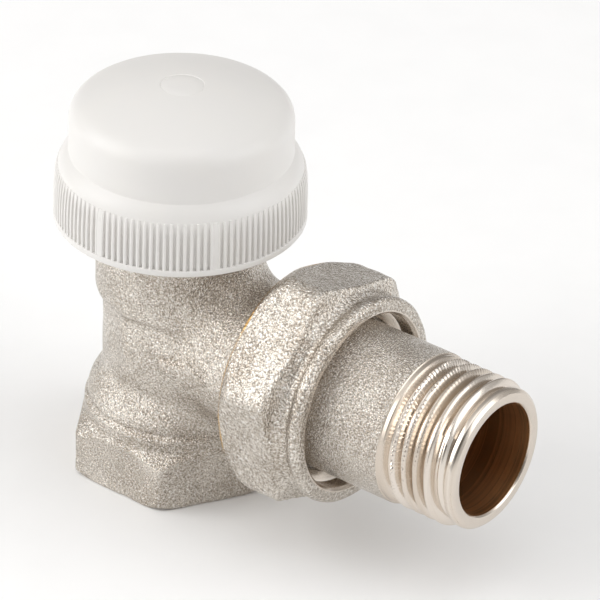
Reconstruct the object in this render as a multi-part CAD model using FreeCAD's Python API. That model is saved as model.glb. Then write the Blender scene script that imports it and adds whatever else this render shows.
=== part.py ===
import FreeCAD
import Part
import math
import os

# Angle radiator valve: a brass body with an inlet at its base, a screwed-in valve insert under a
# ribbed hand cap, and a union nut that holds a threaded tail on the outlet.
# Millimetres. Z is the cap's axis and points up, X is the outlet's axis, and the origin is the centre
# of the inlet face. Threads are rings of the true section, one for each turn.

# Pipe and metric threads
PIPE_PITCH = 1.814
HALF_INCH_MAJOR = 10.478
HALF_INCH_MINOR = 9.316
UNION_MAJOR = 13.2
CAP_THREAD_MAJOR = 15.0
CAP_THREAD_PITCH = 1.5
INSERT_THREAD_MAJOR = 8.95
GLAND_THREAD_MAJOR = 6.0
FINE_PITCH = 1.0
UNION_THREAD_DEPTH = 1.15
CAP_THREAD_DEPTH = 0.92
FINE_THREAD_DEPTH = 0.6
CREST_SHARE = 1 / 12
ROOT_SHARE = 5 / 12

# Clearances
SCREW_GAP = 0.05
RUNNING_GAP = 0.05
SEAL_GAP = 0.05
FACE_GAP = 0.05
SEATED_GAP = 0.02

# Valve body
AXIS_HEIGHT = 21.8
INLET_HEX_ACROSS_FLATS = 26.0
INLET_HEX_CORNER = 14.8
INLET_HEX_TOP = 7.6
INLET_HEX_SHOULDER = 6.3
CORNER_TO_OUTLET = 0.0
INLET_THREAD_FIRST = 1.6
INLET_THREAD_TURNS = 6
INLET_THREAD_DEPTH = 12.0
INLET_RELIEF = 0.8
FLARE_RADIUS = 12.6
FLARE_MIDDLE_DROP = 9.5
NECK_WALL = 2.07
NECK_DROP = 5.0
NECK_RISE = 3.0
COLLAR_WALL = 2.45
COLLAR_RISE = 7.5
BODY_RISE = 15.2
BRANCH_RADIUS = 10.3
BRANCH_END = 25.0
UNION_THREAD_LENGTH = 6.0
UNION_THREAD_TURNS = 3
CHAMBER_STEP = 0.65
SEAT_DROP = 5.3
SEAT_BORE = 6.0
SEAT_LIP_WIDTH = 0.8
SEAT_LIP_HEIGHT = 0.55
SEAT_FLOOR = 2.5
OUTLET_BORE = 6.5
SPIGOT_SOCKET_DEPTH = 4.5
ARROW_START = 5.5
ARROW_HEAD = 9.5
ARROW_TIP = 13.3
ARROW_SHAFT = 2.0
ARROW_WIDTH = 4.8
ARROW_RELIEF = 0.45

# Valve insert
INSERT_DEPTH = 8.6
INSERT_THREAD_TURNS = 6
INSERT_SEAL_WIRE = 0.78
INSERT_SEAL_ROOM = 1.6
INSERT_SEAL_LEDGE = 1.0
INSERT_HEX_ACROSS_FLATS = 23.0
INSERT_HEX_HEIGHT = 1.8
CAP_THREAD_TURNS = 4
CAP_THREAD_RUN_IN = 0.65
CAP_THREAD_HEIGHT = 5.8
SHOULDER_STEP = 1.18
SHOULDER_HEIGHT = 2.2
TOWER_HEIGHT = 0.7
WEB_THICKNESS = 2.4
SPRING_ROOM_RADIUS = 5.5
GLAND_SCREW_LENGTH = 3.7
GLAND_THREAD_TURNS = 2
GLAND_FLANGE_WIDTH = 1.5
GLAND_FLANGE_HEIGHT = 0.6
GLAND_HEX_ACROSS_FLATS = 11.0
GLAND_HEX_HEIGHT = 2.2
TOWER_WIDTH = 0.9
GLAND_SEAL_WIRE = 0.5
STEM_SEAL_WIRE = 0.6

# Pin and disc
STROKE = 2.4
PIN_RADIUS = 1.5
PIN_RISE = 6.3
PIN_TIP_SPHERE = 2.5
SPINDLE_RADIUS = 2.0
SPINDLE_SHORT = 0.6
PIN_SOCKET_DEPTH = 2.0
CLIP_DROP = 3.6
CLIP_GROOVE_DEPTH = 0.6
CLIP_WIDTH = 1.9
CLIP_THICKNESS = 0.6
CLIP_MOUTH = 2.4
PLATE_RADIUS = 5.2
PLATE_THICKNESS = 1.0
PLATE_SLEEVE = 0.8
WASHER_INSET = 1.1
WASHER_THICKNESS = 2.0
HOLDER_WALL = 0.5
HOLDER_LIP = 1.1
HOLDER_PLATE = 1.4
HOLDER_HUB_WALL = 1.4
HOLDER_HUB_HEIGHT = 2.1
DISC_NUT_WALL = 1.25
DISC_NUT_HEIGHT = 1.6
SPRING_WIRE = 0.45
SPRING_RADIUS = 4.2
SPRING_TURNS = 4.5

# Hand cap
CAP_STANDOFF = 1.8
CAP_SKIRT_WALL = 2.05
CAP_RIM_BAND = 0.9
CAP_STRAIGHT = 3.5
CAP_SHOULDER_INSET = 0.65
CAP_SHOULDER_HEIGHT = 8.0
CAP_CREASE_HEIGHT = 9.8
CAP_DOME_INSET = 2.0
CAP_DOME_STRAIGHT = 14.5
CAP_CROWN_INSET = 3.83
CAP_CROWN_SPHERE = 37.7
CAP_HEIGHT = 19.65
CAP_WALL = 1.6
CAP_RIB_COUNT = 118
CAP_RIB_DEPTH = 0.45
CAP_PLAIN_LANDS = (0, 18, 59, 77)
CAP_FIRST_LAND = -90.0
CAP_CAVITY_HEIGHT = 8.3
CAP_THREAD_FIRST = 1.4
CAP_THREAD_GROOVE = 0.55
CAP_THREAD_RINGS = 3
PAD_RADIUS = 5.0
PAD_THICKNESS = 1.18
PAD_RIM = 1.35
PAD_LIP = 0.15

# Union tail and nut
SPIGOT_RADIUS = 9.2
SPIGOT_LENGTH = 3.85
TAIL_SEAL_WIRE = 0.65
TAIL_SEAL_GROOVE = 1.9
TAIL_COLLAR_STEP = 0.3
TAIL_COLLAR_LENGTH = 2.6
TAIL_BARREL_RADIUS = 10.65
TAIL_BARREL_LENGTH = 14.85
TAIL_THREAD_RUN_IN = 1.57
TAIL_THREAD_TURNS = 5
TAIL_END_LAND = 0.44
TAIL_END_RADIUS = 9.83
TAIL_BORE = 7.85
NUT_WALL = 1.3
NUT_CORNER_CUT = 0.47
NUT_CORNER_ANGLE = 43.2
NUT_OVERLAP = 6.4
NUT_HEX_LENGTH = 8.6
NUT_LENGTH = 13.2
NUT_NECK_STEP = 0.1
NUT_LIP_STEP = 1.45
NUT_LIP_INSET = 0.6
NUT_BARREL_GAP = 0.35
NUT_SHOULDER_LENGTH = 0.9
NUT_THREAD_FIRST = 1.8
NUT_THREAD_GROOVE = 0.45

# Radii that follow
UNION_MINOR = UNION_MAJOR - UNION_THREAD_DEPTH
CAP_THREAD_MINOR = CAP_THREAD_MAJOR - CAP_THREAD_DEPTH
INSERT_THREAD_MINOR = INSERT_THREAD_MAJOR - FINE_THREAD_DEPTH
GLAND_THREAD_MINOR = GLAND_THREAD_MAJOR - FINE_THREAD_DEPTH
CHAMBER_RADIUS = INSERT_THREAD_MAJOR - CHAMBER_STEP
NECK_RADIUS = CHAMBER_RADIUS + NECK_WALL
COLLAR_RADIUS = INSERT_THREAD_MAJOR + COLLAR_WALL
SPIGOT_SOCKET = SPIGOT_RADIUS + 2 * SEAL_GAP
SHOULDER_RADIUS = CAP_THREAD_MINOR - SHOULDER_STEP
GLAND_FLANGE_RADIUS = GLAND_THREAD_MAJOR + GLAND_FLANGE_WIDTH
TOWER_RADIUS = GLAND_FLANGE_RADIUS + TOWER_WIDTH
WASHER_RADIUS = CHAMBER_RADIUS - WASHER_INSET
CLIP_GROOVE_RADIUS = SPINDLE_RADIUS - CLIP_GROOVE_DEPTH
CLIP_RADIUS = CLIP_GROOVE_RADIUS + CLIP_WIDTH
HOLDER_HUB_RADIUS = SPINDLE_RADIUS + HOLDER_HUB_WALL
DISC_NUT_ACROSS_FLATS = 2 * (SPINDLE_RADIUS + DISC_NUT_WALL)
CAP_RIM_RADIUS = CAP_THREAD_MAJOR + SCREW_GAP + CAP_SKIRT_WALL
CAP_SHOULDER_RADIUS = CAP_RIM_RADIUS - CAP_SHOULDER_INSET
CAP_DOME_RADIUS = CAP_RIM_RADIUS - CAP_DOME_INSET
CAP_CROWN_EDGE = CAP_RIM_RADIUS - CAP_CROWN_INSET
TAIL_COLLAR_RADIUS = UNION_MAJOR - TAIL_COLLAR_STEP
NUT_ACROSS_FLATS = 2 * (UNION_MAJOR + SCREW_GAP + NUT_THREAD_GROOVE + NUT_WALL)
NUT_CORNER = NUT_ACROSS_FLATS / math.sqrt(3) - NUT_CORNER_CUT
NUT_NECK_RADIUS = UNION_MAJOR + NUT_NECK_STEP
NUT_LIP_RADIUS = UNION_MAJOR + NUT_LIP_STEP
NUT_LIP_BORE = TAIL_COLLAR_RADIUS - NUT_LIP_INSET
NUT_SHOULDER_BORE = TAIL_BARREL_RADIUS + NUT_BARREL_GAP

# Heights and lengths that follow
SEAT_FACE = AXIS_HEIGHT - SEAT_DROP
BODY_TOP = AXIS_HEIGHT + BODY_RISE
INSERT_BOTTOM = BODY_TOP - INSERT_DEPTH
INSERT_SEAL_LOW = BODY_TOP - INSERT_SEAL_ROOM
INSERT_HEX_TOP = BODY_TOP + INSERT_HEX_HEIGHT
CAP_THREAD_TOP = INSERT_HEX_TOP + CAP_THREAD_HEIGHT
SHOULDER_TOP = CAP_THREAD_TOP + SHOULDER_HEIGHT
INSERT_TOP = SHOULDER_TOP + TOWER_HEIGHT
SPRING_SEAT = INSERT_BOTTOM + WEB_THICKNESS
GLAND_BOTTOM = INSERT_TOP - GLAND_SCREW_LENGTH
GLAND_SEAL_LOW = INSERT_TOP - 2 * GLAND_SEAL_WIRE - SEAL_GAP
GLAND_HEX_LOW = INSERT_TOP + GLAND_FLANGE_HEIGHT
PIN_SEAL_MIDDLE = GLAND_BOTTOM + GLAND_SCREW_LENGTH / 2
SPINDLE_SEAL_MIDDLE = INSERT_BOTTOM + WEB_THICKNESS / 2
PIN_TIP = INSERT_TOP + PIN_RISE
SPINDLE_TOP = GLAND_BOTTOM - SPINDLE_SHORT
CLIP_HEIGHT = SPINDLE_TOP - CLIP_DROP
SPRING_TOP = CLIP_HEIGHT - PLATE_THICKNESS
DISC_FACE = SEAT_FACE + SEAT_LIP_HEIGHT + FACE_GAP + STROKE
CAP_BASE = BODY_TOP + CAP_STANDOFF
PAD_LOW = PIN_TIP + FACE_GAP
UNION_THREAD_START = BRANCH_END - UNION_THREAD_LENGTH
TAIL_COLLAR_START = BRANCH_END + FACE_GAP
TAIL_COLLAR_END = TAIL_COLLAR_START + TAIL_COLLAR_LENGTH
TAIL_SPIGOT_START = TAIL_COLLAR_START - SPIGOT_LENGTH
TAIL_SEAL_MIDDLE = TAIL_COLLAR_START - SPIGOT_LENGTH / 2 + 0.2
TAIL_BARREL_END = TAIL_COLLAR_END + TAIL_BARREL_LENGTH
TAIL_THREAD_FIRST = TAIL_BARREL_END + TAIL_THREAD_RUN_IN
TAIL_END = TAIL_THREAD_FIRST + TAIL_THREAD_TURNS * PIPE_PITCH + TAIL_END_LAND
NUT_BACK = BRANCH_END - NUT_OVERLAP

ORIGIN = FreeCAD.Vector(0, 0, 0)
UP = FreeCAD.Vector(0, 0, 1)


def flat_point(point):
    """A point of an outline, given as (radius, height), in the XZ plane."""
    return FreeCAD.Vector(point[0], 0, point[1])


def turned(points):
    """A solid of revolution about Z.

    A point (r, z) ends a straight run, and (r1, z1, r, z) ends an arc that passes through (r1, z1).
    """
    edges = []
    here = points[0]
    for point in points[1:] + points[:1]:
        there = point[-2:]
        if len(point) == 4:
            edge = Part.Arc(flat_point(here), flat_point(point[:2]), flat_point(there)).toShape()
        else:
            edge = Part.makeLine(flat_point(here), flat_point(there))
        edges.append(edge)
        here = there
    return Part.Face(Part.Wire(edges)).revolve(ORIGIN, UP, 360)


def crown_drop(radius, sphere):
    """How far a spherical crown falls from its top at a radius."""
    return sphere - math.sqrt(sphere ** 2 - radius ** 2)


def thread_rings(root, crest, first, pitch, turns):
    """Outline points of a thread, from low to high, with the first crest centred at first."""
    points = []
    for turn in range(turns):
        middle = first + turn * pitch
        points.append((root, middle - ROOT_SHARE * pitch))
        points.append((crest, middle - CREST_SHARE * pitch))
        points.append((crest, middle + CREST_SHARE * pitch))
        points.append((root, middle + ROOT_SHARE * pitch))
    return points


def cylinder(radius, low, high):
    """A cylinder about Z between two heights."""
    return Part.makeCylinder(radius, high - low, FreeCAD.Vector(0, 0, low))


def tube(outer, inner, low, high):
    """A plain ring about Z between two heights."""
    return cylinder(outer, low, high).cut(cylinder(inner, low, high))


def hexagon(across_flats, low, high, phase):
    """A hexagonal prism about Z with one corner at the angle phase, in degrees."""
    corner = across_flats / math.sqrt(3)
    points = []
    for side in range(7):
        angle = math.radians(phase + 60 * side)
        points.append(FreeCAD.Vector(corner * math.cos(angle), corner * math.sin(angle), low))
    return Part.Face(Part.makePolygon(points)).extrude(FreeCAD.Vector(0, 0, high - low))


def seal_ring(inner, wire, middle):
    """An O-ring about Z: its inner radius, its section's radius and the height of its middle."""
    return Part.makeTorus(inner + wire, wire, FreeCAD.Vector(0, 0, middle))


def along_outlet(shape):
    """Turns a shape from the Z axis onto the outlet's axis."""
    turned_shape = shape.copy()
    rotation = FreeCAD.Rotation(FreeCAD.Vector(0, 1, 0), 90)
    turned_shape.Placement = FreeCAD.Placement(FreeCAD.Vector(0, 0, AXIS_HEIGHT), rotation)
    return turned_shape


def body_stem():
    """The body's upright: the round flare over the inlet hexagon, the neck and the insert's collar."""
    flare_low = INLET_HEX_TOP - 1.0
    flare_middle = AXIS_HEIGHT - FLARE_MIDDLE_DROP
    neck_low = AXIS_HEIGHT - NECK_DROP
    neck_high = AXIS_HEIGHT + NECK_RISE
    collar_low = AXIS_HEIGHT + COLLAR_RISE
    return turned([
        (0, flare_low),
        (FLARE_RADIUS, flare_low),
        (FLARE_RADIUS, INLET_HEX_TOP),
        (FLARE_RADIUS - 0.2, (INLET_HEX_TOP + flare_middle) / 2, FLARE_RADIUS - 0.55, flare_middle),
        (FLARE_RADIUS - 1.3, flare_middle + 1.9, NECK_RADIUS, neck_low),
        (NECK_RADIUS, neck_high),
        (COLLAR_RADIUS - 0.5, (neck_high + collar_low) / 2, COLLAR_RADIUS, collar_low),
        (COLLAR_RADIUS, BODY_TOP - 0.3),
        (COLLAR_RADIUS - 0.3, BODY_TOP),
        (0, BODY_TOP),
    ])


def inlet_hexagon():
    """The spanner hexagon round the inlet, with rounded corners and a sloping shoulder."""
    top = INLET_HEX_TOP + 0.2
    envelope = turned([
        (0, 0),
        (INLET_HEX_CORNER - 0.7, 0),
        (INLET_HEX_CORNER, 0.5),
        (INLET_HEX_CORNER, INLET_HEX_SHOULDER),
        (FLARE_RADIUS, top),
        (0, top),
    ])
    prism = hexagon(INLET_HEX_ACROSS_FLATS, 0, top, CORNER_TO_OUTLET)
    return envelope.common(prism)


def outlet_branch():
    """The body's outlet arm with the male thread that takes the union nut."""
    thread_first = UNION_THREAD_START + PIPE_PITCH / 2
    outline = [(0, 0), (BRANCH_RADIUS, 0), (BRANCH_RADIUS, UNION_THREAD_START - 1.0)]
    outline.append((UNION_MINOR, UNION_THREAD_START))
    outline += thread_rings(UNION_MINOR, UNION_MAJOR, thread_first, PIPE_PITCH, UNION_THREAD_TURNS)
    outline.append((UNION_MINOR, BRANCH_END - 0.4))
    outline.append((UNION_MINOR - 0.4, BRANCH_END))
    outline.append((0, BRANCH_END))
    return along_outlet(turned(outline))


def flow_arrow():
    """The raised arrow on the body's side that points to the outlet."""
    side = -(BRANCH_RADIUS + ARROW_RELIEF)
    outline = [
        (ARROW_START, -ARROW_SHAFT / 2),
        (ARROW_HEAD, -ARROW_SHAFT / 2),
        (ARROW_HEAD, -ARROW_WIDTH / 2),
        (ARROW_TIP, 0),
        (ARROW_HEAD, ARROW_WIDTH / 2),
        (ARROW_HEAD, ARROW_SHAFT / 2),
        (ARROW_START, ARROW_SHAFT / 2),
        (ARROW_START, -ARROW_SHAFT / 2),
    ]
    points = [FreeCAD.Vector(x, side, AXIS_HEIGHT + z) for x, z in outline]
    return Part.Face(Part.makePolygon(points)).extrude(FreeCAD.Vector(0, 2.0, 0))


def inlet_passage():
    """The threaded inlet, the space behind it and the bore of the seat."""
    mouth = HALF_INCH_MAJOR + 0.2
    relief = HALF_INCH_MINOR - INLET_RELIEF
    floor = SEAT_FACE - SEAT_FLOOR
    lip_top = SEAT_FACE + SEAT_LIP_HEIGHT
    outline = [(0, 0), (mouth, 0), (HALF_INCH_MINOR, 0.6)]
    outline += thread_rings(
        HALF_INCH_MINOR, HALF_INCH_MAJOR, INLET_THREAD_FIRST, PIPE_PITCH, INLET_THREAD_TURNS)
    outline += [(HALF_INCH_MINOR, INLET_THREAD_DEPTH), (relief, INLET_THREAD_DEPTH + INLET_RELIEF)]
    outline += [(relief, floor - 0.6), (SEAT_BORE, floor + 1.0), (SEAT_BORE, lip_top), (0, lip_top)]
    return turned(outline)


def insert_chamber():
    """The chamber over the seat, the insert's screwed socket and the room for its seal."""
    socket = INSERT_THREAD_MAJOR + SCREW_GAP
    seal_room = INSERT_THREAD_MAJOR + INSERT_SEAL_LEDGE
    lip = SEAT_BORE + SEAT_LIP_WIDTH
    lip_top = SEAT_FACE + SEAT_LIP_HEIGHT
    return turned([
        (0, lip_top),
        (lip, lip_top),
        (lip + 0.2, SEAT_FACE),
        (CHAMBER_RADIUS, SEAT_FACE),
        (CHAMBER_RADIUS, INSERT_BOTTOM - 0.3),
        (socket, INSERT_BOTTOM),
        (socket, INSERT_SEAL_LOW),
        (seal_room, INSERT_SEAL_LOW),
        (seal_room, BODY_TOP),
        (0, BODY_TOP),
    ])


def outlet_passage():
    """The water way from the chamber to the outlet's end, with the socket for the tail's spigot."""
    start = CHAMBER_RADIUS - 0.4
    socket_start = BRANCH_END - SPIGOT_SOCKET_DEPTH
    return along_outlet(turned([
        (0, start),
        (OUTLET_BORE, start),
        (OUTLET_BORE, socket_start),
        (SPIGOT_SOCKET, socket_start),
        (SPIGOT_SOCKET, BRANCH_END - 0.4),
        (SPIGOT_SOCKET + 0.4, BRANCH_END),
        (0, BRANCH_END),
    ]))


def valve_body():
    """The forged body with its passages, threads and flow arrow."""
    outside = body_stem().fuse([inlet_hexagon(), outlet_branch(), flow_arrow()])
    return outside.cut([inlet_passage(), insert_chamber(), outlet_passage()]).removeSplitter()


def housing_core():
    """The housing's screwed foot, its seal neck and the tower round the gland."""
    seal_neck = INSERT_THREAD_MINOR - SEAL_GAP
    screw_first = INSERT_BOTTOM + FINE_PITCH
    outline = [(0, INSERT_BOTTOM), (INSERT_THREAD_MINOR, INSERT_BOTTOM)]
    outline += thread_rings(
        INSERT_THREAD_MINOR, INSERT_THREAD_MAJOR, screw_first, FINE_PITCH, INSERT_THREAD_TURNS)
    outline += [(seal_neck, INSERT_SEAL_LOW), (seal_neck, BODY_TOP), (TOWER_RADIUS, BODY_TOP)]
    outline += [(TOWER_RADIUS, INSERT_TOP), (0, INSERT_TOP)]
    return turned(outline)


def housing_crown():
    """The part of the housing that carries the cap's thread, with the plain shoulder over it."""
    inside = TOWER_RADIUS - 1
    thread_first = INSERT_HEX_TOP + CAP_THREAD_RUN_IN
    outline = [(inside, INSERT_HEX_TOP), (CAP_THREAD_MINOR, INSERT_HEX_TOP)]
    outline += thread_rings(
        CAP_THREAD_MINOR, CAP_THREAD_MAJOR, thread_first, CAP_THREAD_PITCH, CAP_THREAD_TURNS)
    outline += [(CAP_THREAD_MINOR, CAP_THREAD_TOP), (SHOULDER_RADIUS, CAP_THREAD_TOP)]
    outline += [(SHOULDER_RADIUS, SHOULDER_TOP - 0.4), (SHOULDER_RADIUS - 0.4, SHOULDER_TOP)]
    outline += [(inside, SHOULDER_TOP)]
    return turned(outline)


def housing_bore():
    """The spindle's guide and seal groove, the spring's room and the gland's socket."""
    guide = SPINDLE_RADIUS + RUNNING_GAP
    seal_outer = guide + 2 * STEM_SEAL_WIRE + SEAL_GAP
    seal_half = STEM_SEAL_WIRE + SEAL_GAP / 2
    gland_bore = GLAND_THREAD_MAJOR + SCREW_GAP
    gland_seal_room = gland_bore + 2 * GLAND_SEAL_WIRE + SEAL_GAP
    return turned([
        (0, INSERT_BOTTOM),
        (guide, INSERT_BOTTOM),
        (guide, SPINDLE_SEAL_MIDDLE - seal_half),
        (seal_outer, SPINDLE_SEAL_MIDDLE - seal_half),
        (seal_outer, SPINDLE_SEAL_MIDDLE + seal_half),
        (guide, SPINDLE_SEAL_MIDDLE + seal_half),
        (guide, SPRING_SEAT),
        (SPRING_ROOM_RADIUS, SPRING_SEAT),
        (SPRING_ROOM_RADIUS, GLAND_BOTTOM - 0.3),
        (gland_bore, GLAND_BOTTOM),
        (gland_bore, GLAND_SEAL_LOW),
        (gland_seal_room, GLAND_SEAL_LOW),
        (gland_seal_room, INSERT_TOP),
        (0, INSERT_TOP),
    ])


def insert_housing():
    """The screwed-in housing that carries the cap's thread, the gland and the spindle's guide."""
    spanner = hexagon(INSERT_HEX_ACROSS_FLATS, BODY_TOP, INSERT_HEX_TOP, CORNER_TO_OUTLET)
    return housing_core().fuse([spanner, housing_crown()]).cut(housing_bore()).removeSplitter()


def housing_seal():
    """The O-ring between the housing and the body."""
    return seal_ring(INSERT_THREAD_MINOR, INSERT_SEAL_WIRE, BODY_TOP - INSERT_SEAL_ROOM / 2)


def gland_nut():
    """The small nut on top of the housing that the pin runs through."""
    screw_first = GLAND_BOTTOM + 0.6
    outline = [(0, GLAND_BOTTOM), (GLAND_THREAD_MINOR, GLAND_BOTTOM)]
    outline += thread_rings(
        GLAND_THREAD_MINOR, GLAND_THREAD_MAJOR, screw_first, FINE_PITCH, GLAND_THREAD_TURNS)
    outline += [(GLAND_THREAD_MINOR, GLAND_SEAL_LOW), (GLAND_THREAD_MAJOR, GLAND_SEAL_LOW)]
    outline += [(GLAND_THREAD_MAJOR, INSERT_TOP), (GLAND_FLANGE_RADIUS, INSERT_TOP)]
    outline += [(GLAND_FLANGE_RADIUS, GLAND_HEX_LOW), (0, GLAND_HEX_LOW)]
    head_top = GLAND_HEX_LOW + GLAND_HEX_HEIGHT
    head = hexagon(GLAND_HEX_ACROSS_FLATS, GLAND_HEX_LOW, head_top, CORNER_TO_OUTLET)
    guide = PIN_RADIUS + RUNNING_GAP
    room_radius = guide + 2 * STEM_SEAL_WIRE + SEAL_GAP
    room_half = STEM_SEAL_WIRE + SEAL_GAP / 2
    seal_room = cylinder(room_radius, PIN_SEAL_MIDDLE - room_half, PIN_SEAL_MIDDLE + room_half)
    bore = cylinder(guide, GLAND_BOTTOM, head_top)
    return turned(outline).fuse(head).cut([bore, seal_room]).removeSplitter()


def gland_seal():
    """The O-ring between the gland nut and the housing."""
    middle = INSERT_TOP - GLAND_SEAL_WIRE - SEAL_GAP / 2
    return seal_ring(GLAND_THREAD_MAJOR + SEAL_GAP, GLAND_SEAL_WIRE, middle)


def pin_seal():
    """The O-ring round the push pin, inside the gland nut."""
    return seal_ring(PIN_RADIUS + RUNNING_GAP, STEM_SEAL_WIRE, PIN_SEAL_MIDDLE)


def spindle_seal():
    """The O-ring round the spindle, in the housing's lower web."""
    return seal_ring(SPINDLE_RADIUS + RUNNING_GAP, STEM_SEAL_WIRE, SPINDLE_SEAL_MIDDLE)


def push_pin():
    """The steel pin that the cap presses, with a rounded tip."""
    foot = SPINDLE_TOP - PIN_SOCKET_DEPTH
    half = PIN_RADIUS / 2
    return turned([
        (0, foot),
        (PIN_RADIUS, foot),
        (PIN_RADIUS, PIN_TIP - crown_drop(PIN_RADIUS, PIN_TIP_SPHERE)),
        (half, PIN_TIP - crown_drop(half, PIN_TIP_SPHERE), 0, PIN_TIP),
    ])


def spindle():
    """The brass stem between the pin and the disc, with the clip's groove."""
    foot = DISC_FACE - DISC_NUT_HEIGHT - 0.4
    clip_top = CLIP_HEIGHT + CLIP_THICKNESS
    socket = PIN_RADIUS + SEATED_GAP
    socket_floor = SPINDLE_TOP - PIN_SOCKET_DEPTH
    return turned([
        (0, foot),
        (SPINDLE_RADIUS - 0.3, foot),
        (SPINDLE_RADIUS, foot + 0.3),
        (SPINDLE_RADIUS, CLIP_HEIGHT),
        (CLIP_GROOVE_RADIUS, CLIP_HEIGHT),
        (CLIP_GROOVE_RADIUS, clip_top),
        (SPINDLE_RADIUS, clip_top),
        (SPINDLE_RADIUS, SPINDLE_TOP),
        (socket, SPINDLE_TOP),
        (socket, socket_floor),
        (0, socket_floor),
    ])


def spring_plate():
    """The dished plate that the spring pushes up against the clip."""
    bore = SPINDLE_RADIUS + RUNNING_GAP
    sleeve = SPRING_RADIUS - SPRING_WIRE - 0.25
    sleeve_low = SPRING_TOP - PLATE_SLEEVE
    return turned([
        (bore, sleeve_low),
        (sleeve, sleeve_low),
        (sleeve, SPRING_TOP),
        (PLATE_RADIUS, SPRING_TOP),
        (PLATE_RADIUS, CLIP_HEIGHT),
        (bore, CLIP_HEIGHT),
    ])


def retaining_clip():
    """The snap ring in the spindle's groove, open on one side."""
    inner = CLIP_GROOVE_RADIUS + SEATED_GAP
    ring = tube(CLIP_RADIUS, inner, CLIP_HEIGHT, CLIP_HEIGHT + CLIP_THICKNESS)
    corner = FreeCAD.Vector(0, -CLIP_MOUTH / 2, CLIP_HEIGHT)
    mouth = Part.makeBox(CLIP_RADIUS + 1, CLIP_MOUTH, CLIP_THICKNESS, corner)
    return ring.cut(mouth)


def disc_washer():
    """The rubber disc that closes on the seat."""
    inner = SPINDLE_RADIUS + SEATED_GAP
    return tube(WASHER_RADIUS, inner, DISC_FACE, DISC_FACE + WASHER_THICKNESS)


def disc_holder():
    """The brass cup that backs the washer."""
    bore = SPINDLE_RADIUS + SEATED_GAP
    washer_top = DISC_FACE + WASHER_THICKNESS
    cup = WASHER_RADIUS + SEATED_GAP
    plate_top = washer_top + HOLDER_PLATE
    return turned([
        (bore, washer_top),
        (cup, washer_top),
        (cup, washer_top - HOLDER_LIP),
        (cup + HOLDER_WALL, washer_top - HOLDER_LIP),
        (cup + HOLDER_WALL, plate_top - 0.4),
        (cup + HOLDER_WALL - 0.4, plate_top),
        (HOLDER_HUB_RADIUS, plate_top),
        (HOLDER_HUB_RADIUS, plate_top + HOLDER_HUB_HEIGHT),
        (bore, plate_top + HOLDER_HUB_HEIGHT),
    ])


def disc_nut():
    """The nut that clamps the washer to its holder."""
    low = DISC_FACE - DISC_NUT_HEIGHT
    prism = hexagon(DISC_NUT_ACROSS_FLATS, low, DISC_FACE, CORNER_TO_OUTLET)
    return prism.cut(cylinder(SPINDLE_RADIUS + SEATED_GAP, low, DISC_FACE))


def return_spring():
    """The coil spring that lifts the pin, from the housing's web to the spring plate."""
    low = SPRING_SEAT + SPRING_WIRE + SEATED_GAP
    height = SPRING_TOP - SPRING_WIRE - SEATED_GAP - low
    pitch = height / SPRING_TURNS
    path = Part.makeLongHelix(pitch, height, SPRING_RADIUS)
    path.translate(FreeCAD.Vector(0, 0, low))
    start = FreeCAD.Vector(SPRING_RADIUS, 0, low)
    along = FreeCAD.Vector(0, 2 * math.pi * SPRING_RADIUS, pitch)
    section = Part.Wire(Part.makeCircle(SPRING_WIRE, start, along))
    return Part.Wire(path.Edges).makePipeShell([section], True, True)


def cap_outline():
    """The cap's outside: a straight skirt, a shoulder, a crease and a crowned dome."""
    top = CAP_BASE + CAP_HEIGHT
    crown_edge = top - crown_drop(CAP_CROWN_EDGE, CAP_CROWN_SPHERE)
    half_edge = CAP_CROWN_EDGE / 2
    skirt_top = CAP_BASE + CAP_SHOULDER_HEIGHT
    crease = CAP_BASE + CAP_CREASE_HEIGHT
    dome_straight = CAP_BASE + CAP_DOME_STRAIGHT
    return turned([
        (0, CAP_BASE),
        (CAP_RIM_RADIUS - 0.25, CAP_BASE),
        (CAP_RIM_RADIUS, CAP_BASE + 0.25),
        (CAP_RIM_RADIUS, CAP_BASE + CAP_STRAIGHT),
        (CAP_RIM_RADIUS - 0.25, skirt_top - 1.5, CAP_SHOULDER_RADIUS, skirt_top),
        (CAP_SHOULDER_RADIUS - 0.5, skirt_top + 1.0, CAP_DOME_RADIUS, crease),
        (CAP_DOME_RADIUS, dome_straight),
        (CAP_DOME_RADIUS - 0.45, dome_straight + 1.6, CAP_CROWN_EDGE, crown_edge),
        (half_edge, top - crown_drop(half_edge, CAP_CROWN_SPHERE), 0, top),
    ])


def cap_ribs(low, high):
    """A toothed prism that leaves the grip ribs, with a plain land in place of some grooves."""
    pitch = 360 / CAP_RIB_COUNT
    outer = CAP_RIM_RADIUS + 0.2
    floor = CAP_RIM_RADIUS - CAP_RIB_DEPTH
    points = []
    for groove in range(CAP_RIB_COUNT):
        if groove in CAP_PLAIN_LANDS:
            continue
        middle = CAP_FIRST_LAND + groove * pitch
        for radius, share in ((outer, -0.28), (floor, -0.08), (floor, 0.08), (outer, 0.28)):
            angle = math.radians(middle + share * pitch)
            points.append(FreeCAD.Vector(radius * math.cos(angle), radius * math.sin(angle), low))
    points.append(points[0])
    return Part.Face(Part.makePolygon(points)).extrude(FreeCAD.Vector(0, 0, high - low))


def cap_shell():
    """The cap's solid outside, with its ribs between the plain rim and the crease."""
    outside = cap_outline()
    wide = CAP_RIM_RADIUS + 1
    band_top = CAP_BASE + CAP_RIM_BAND
    dome_low = CAP_BASE + CAP_CREASE_HEIGHT + 0.5
    band = outside.common(cylinder(wide, CAP_BASE, band_top))
    ribbed = outside.common(cap_ribs(band_top, dome_low))
    dome = outside.common(cylinder(wide, dome_low, CAP_BASE + CAP_HEIGHT + 1))
    return band.fuse([ribbed, dome]).removeSplitter()


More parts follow.
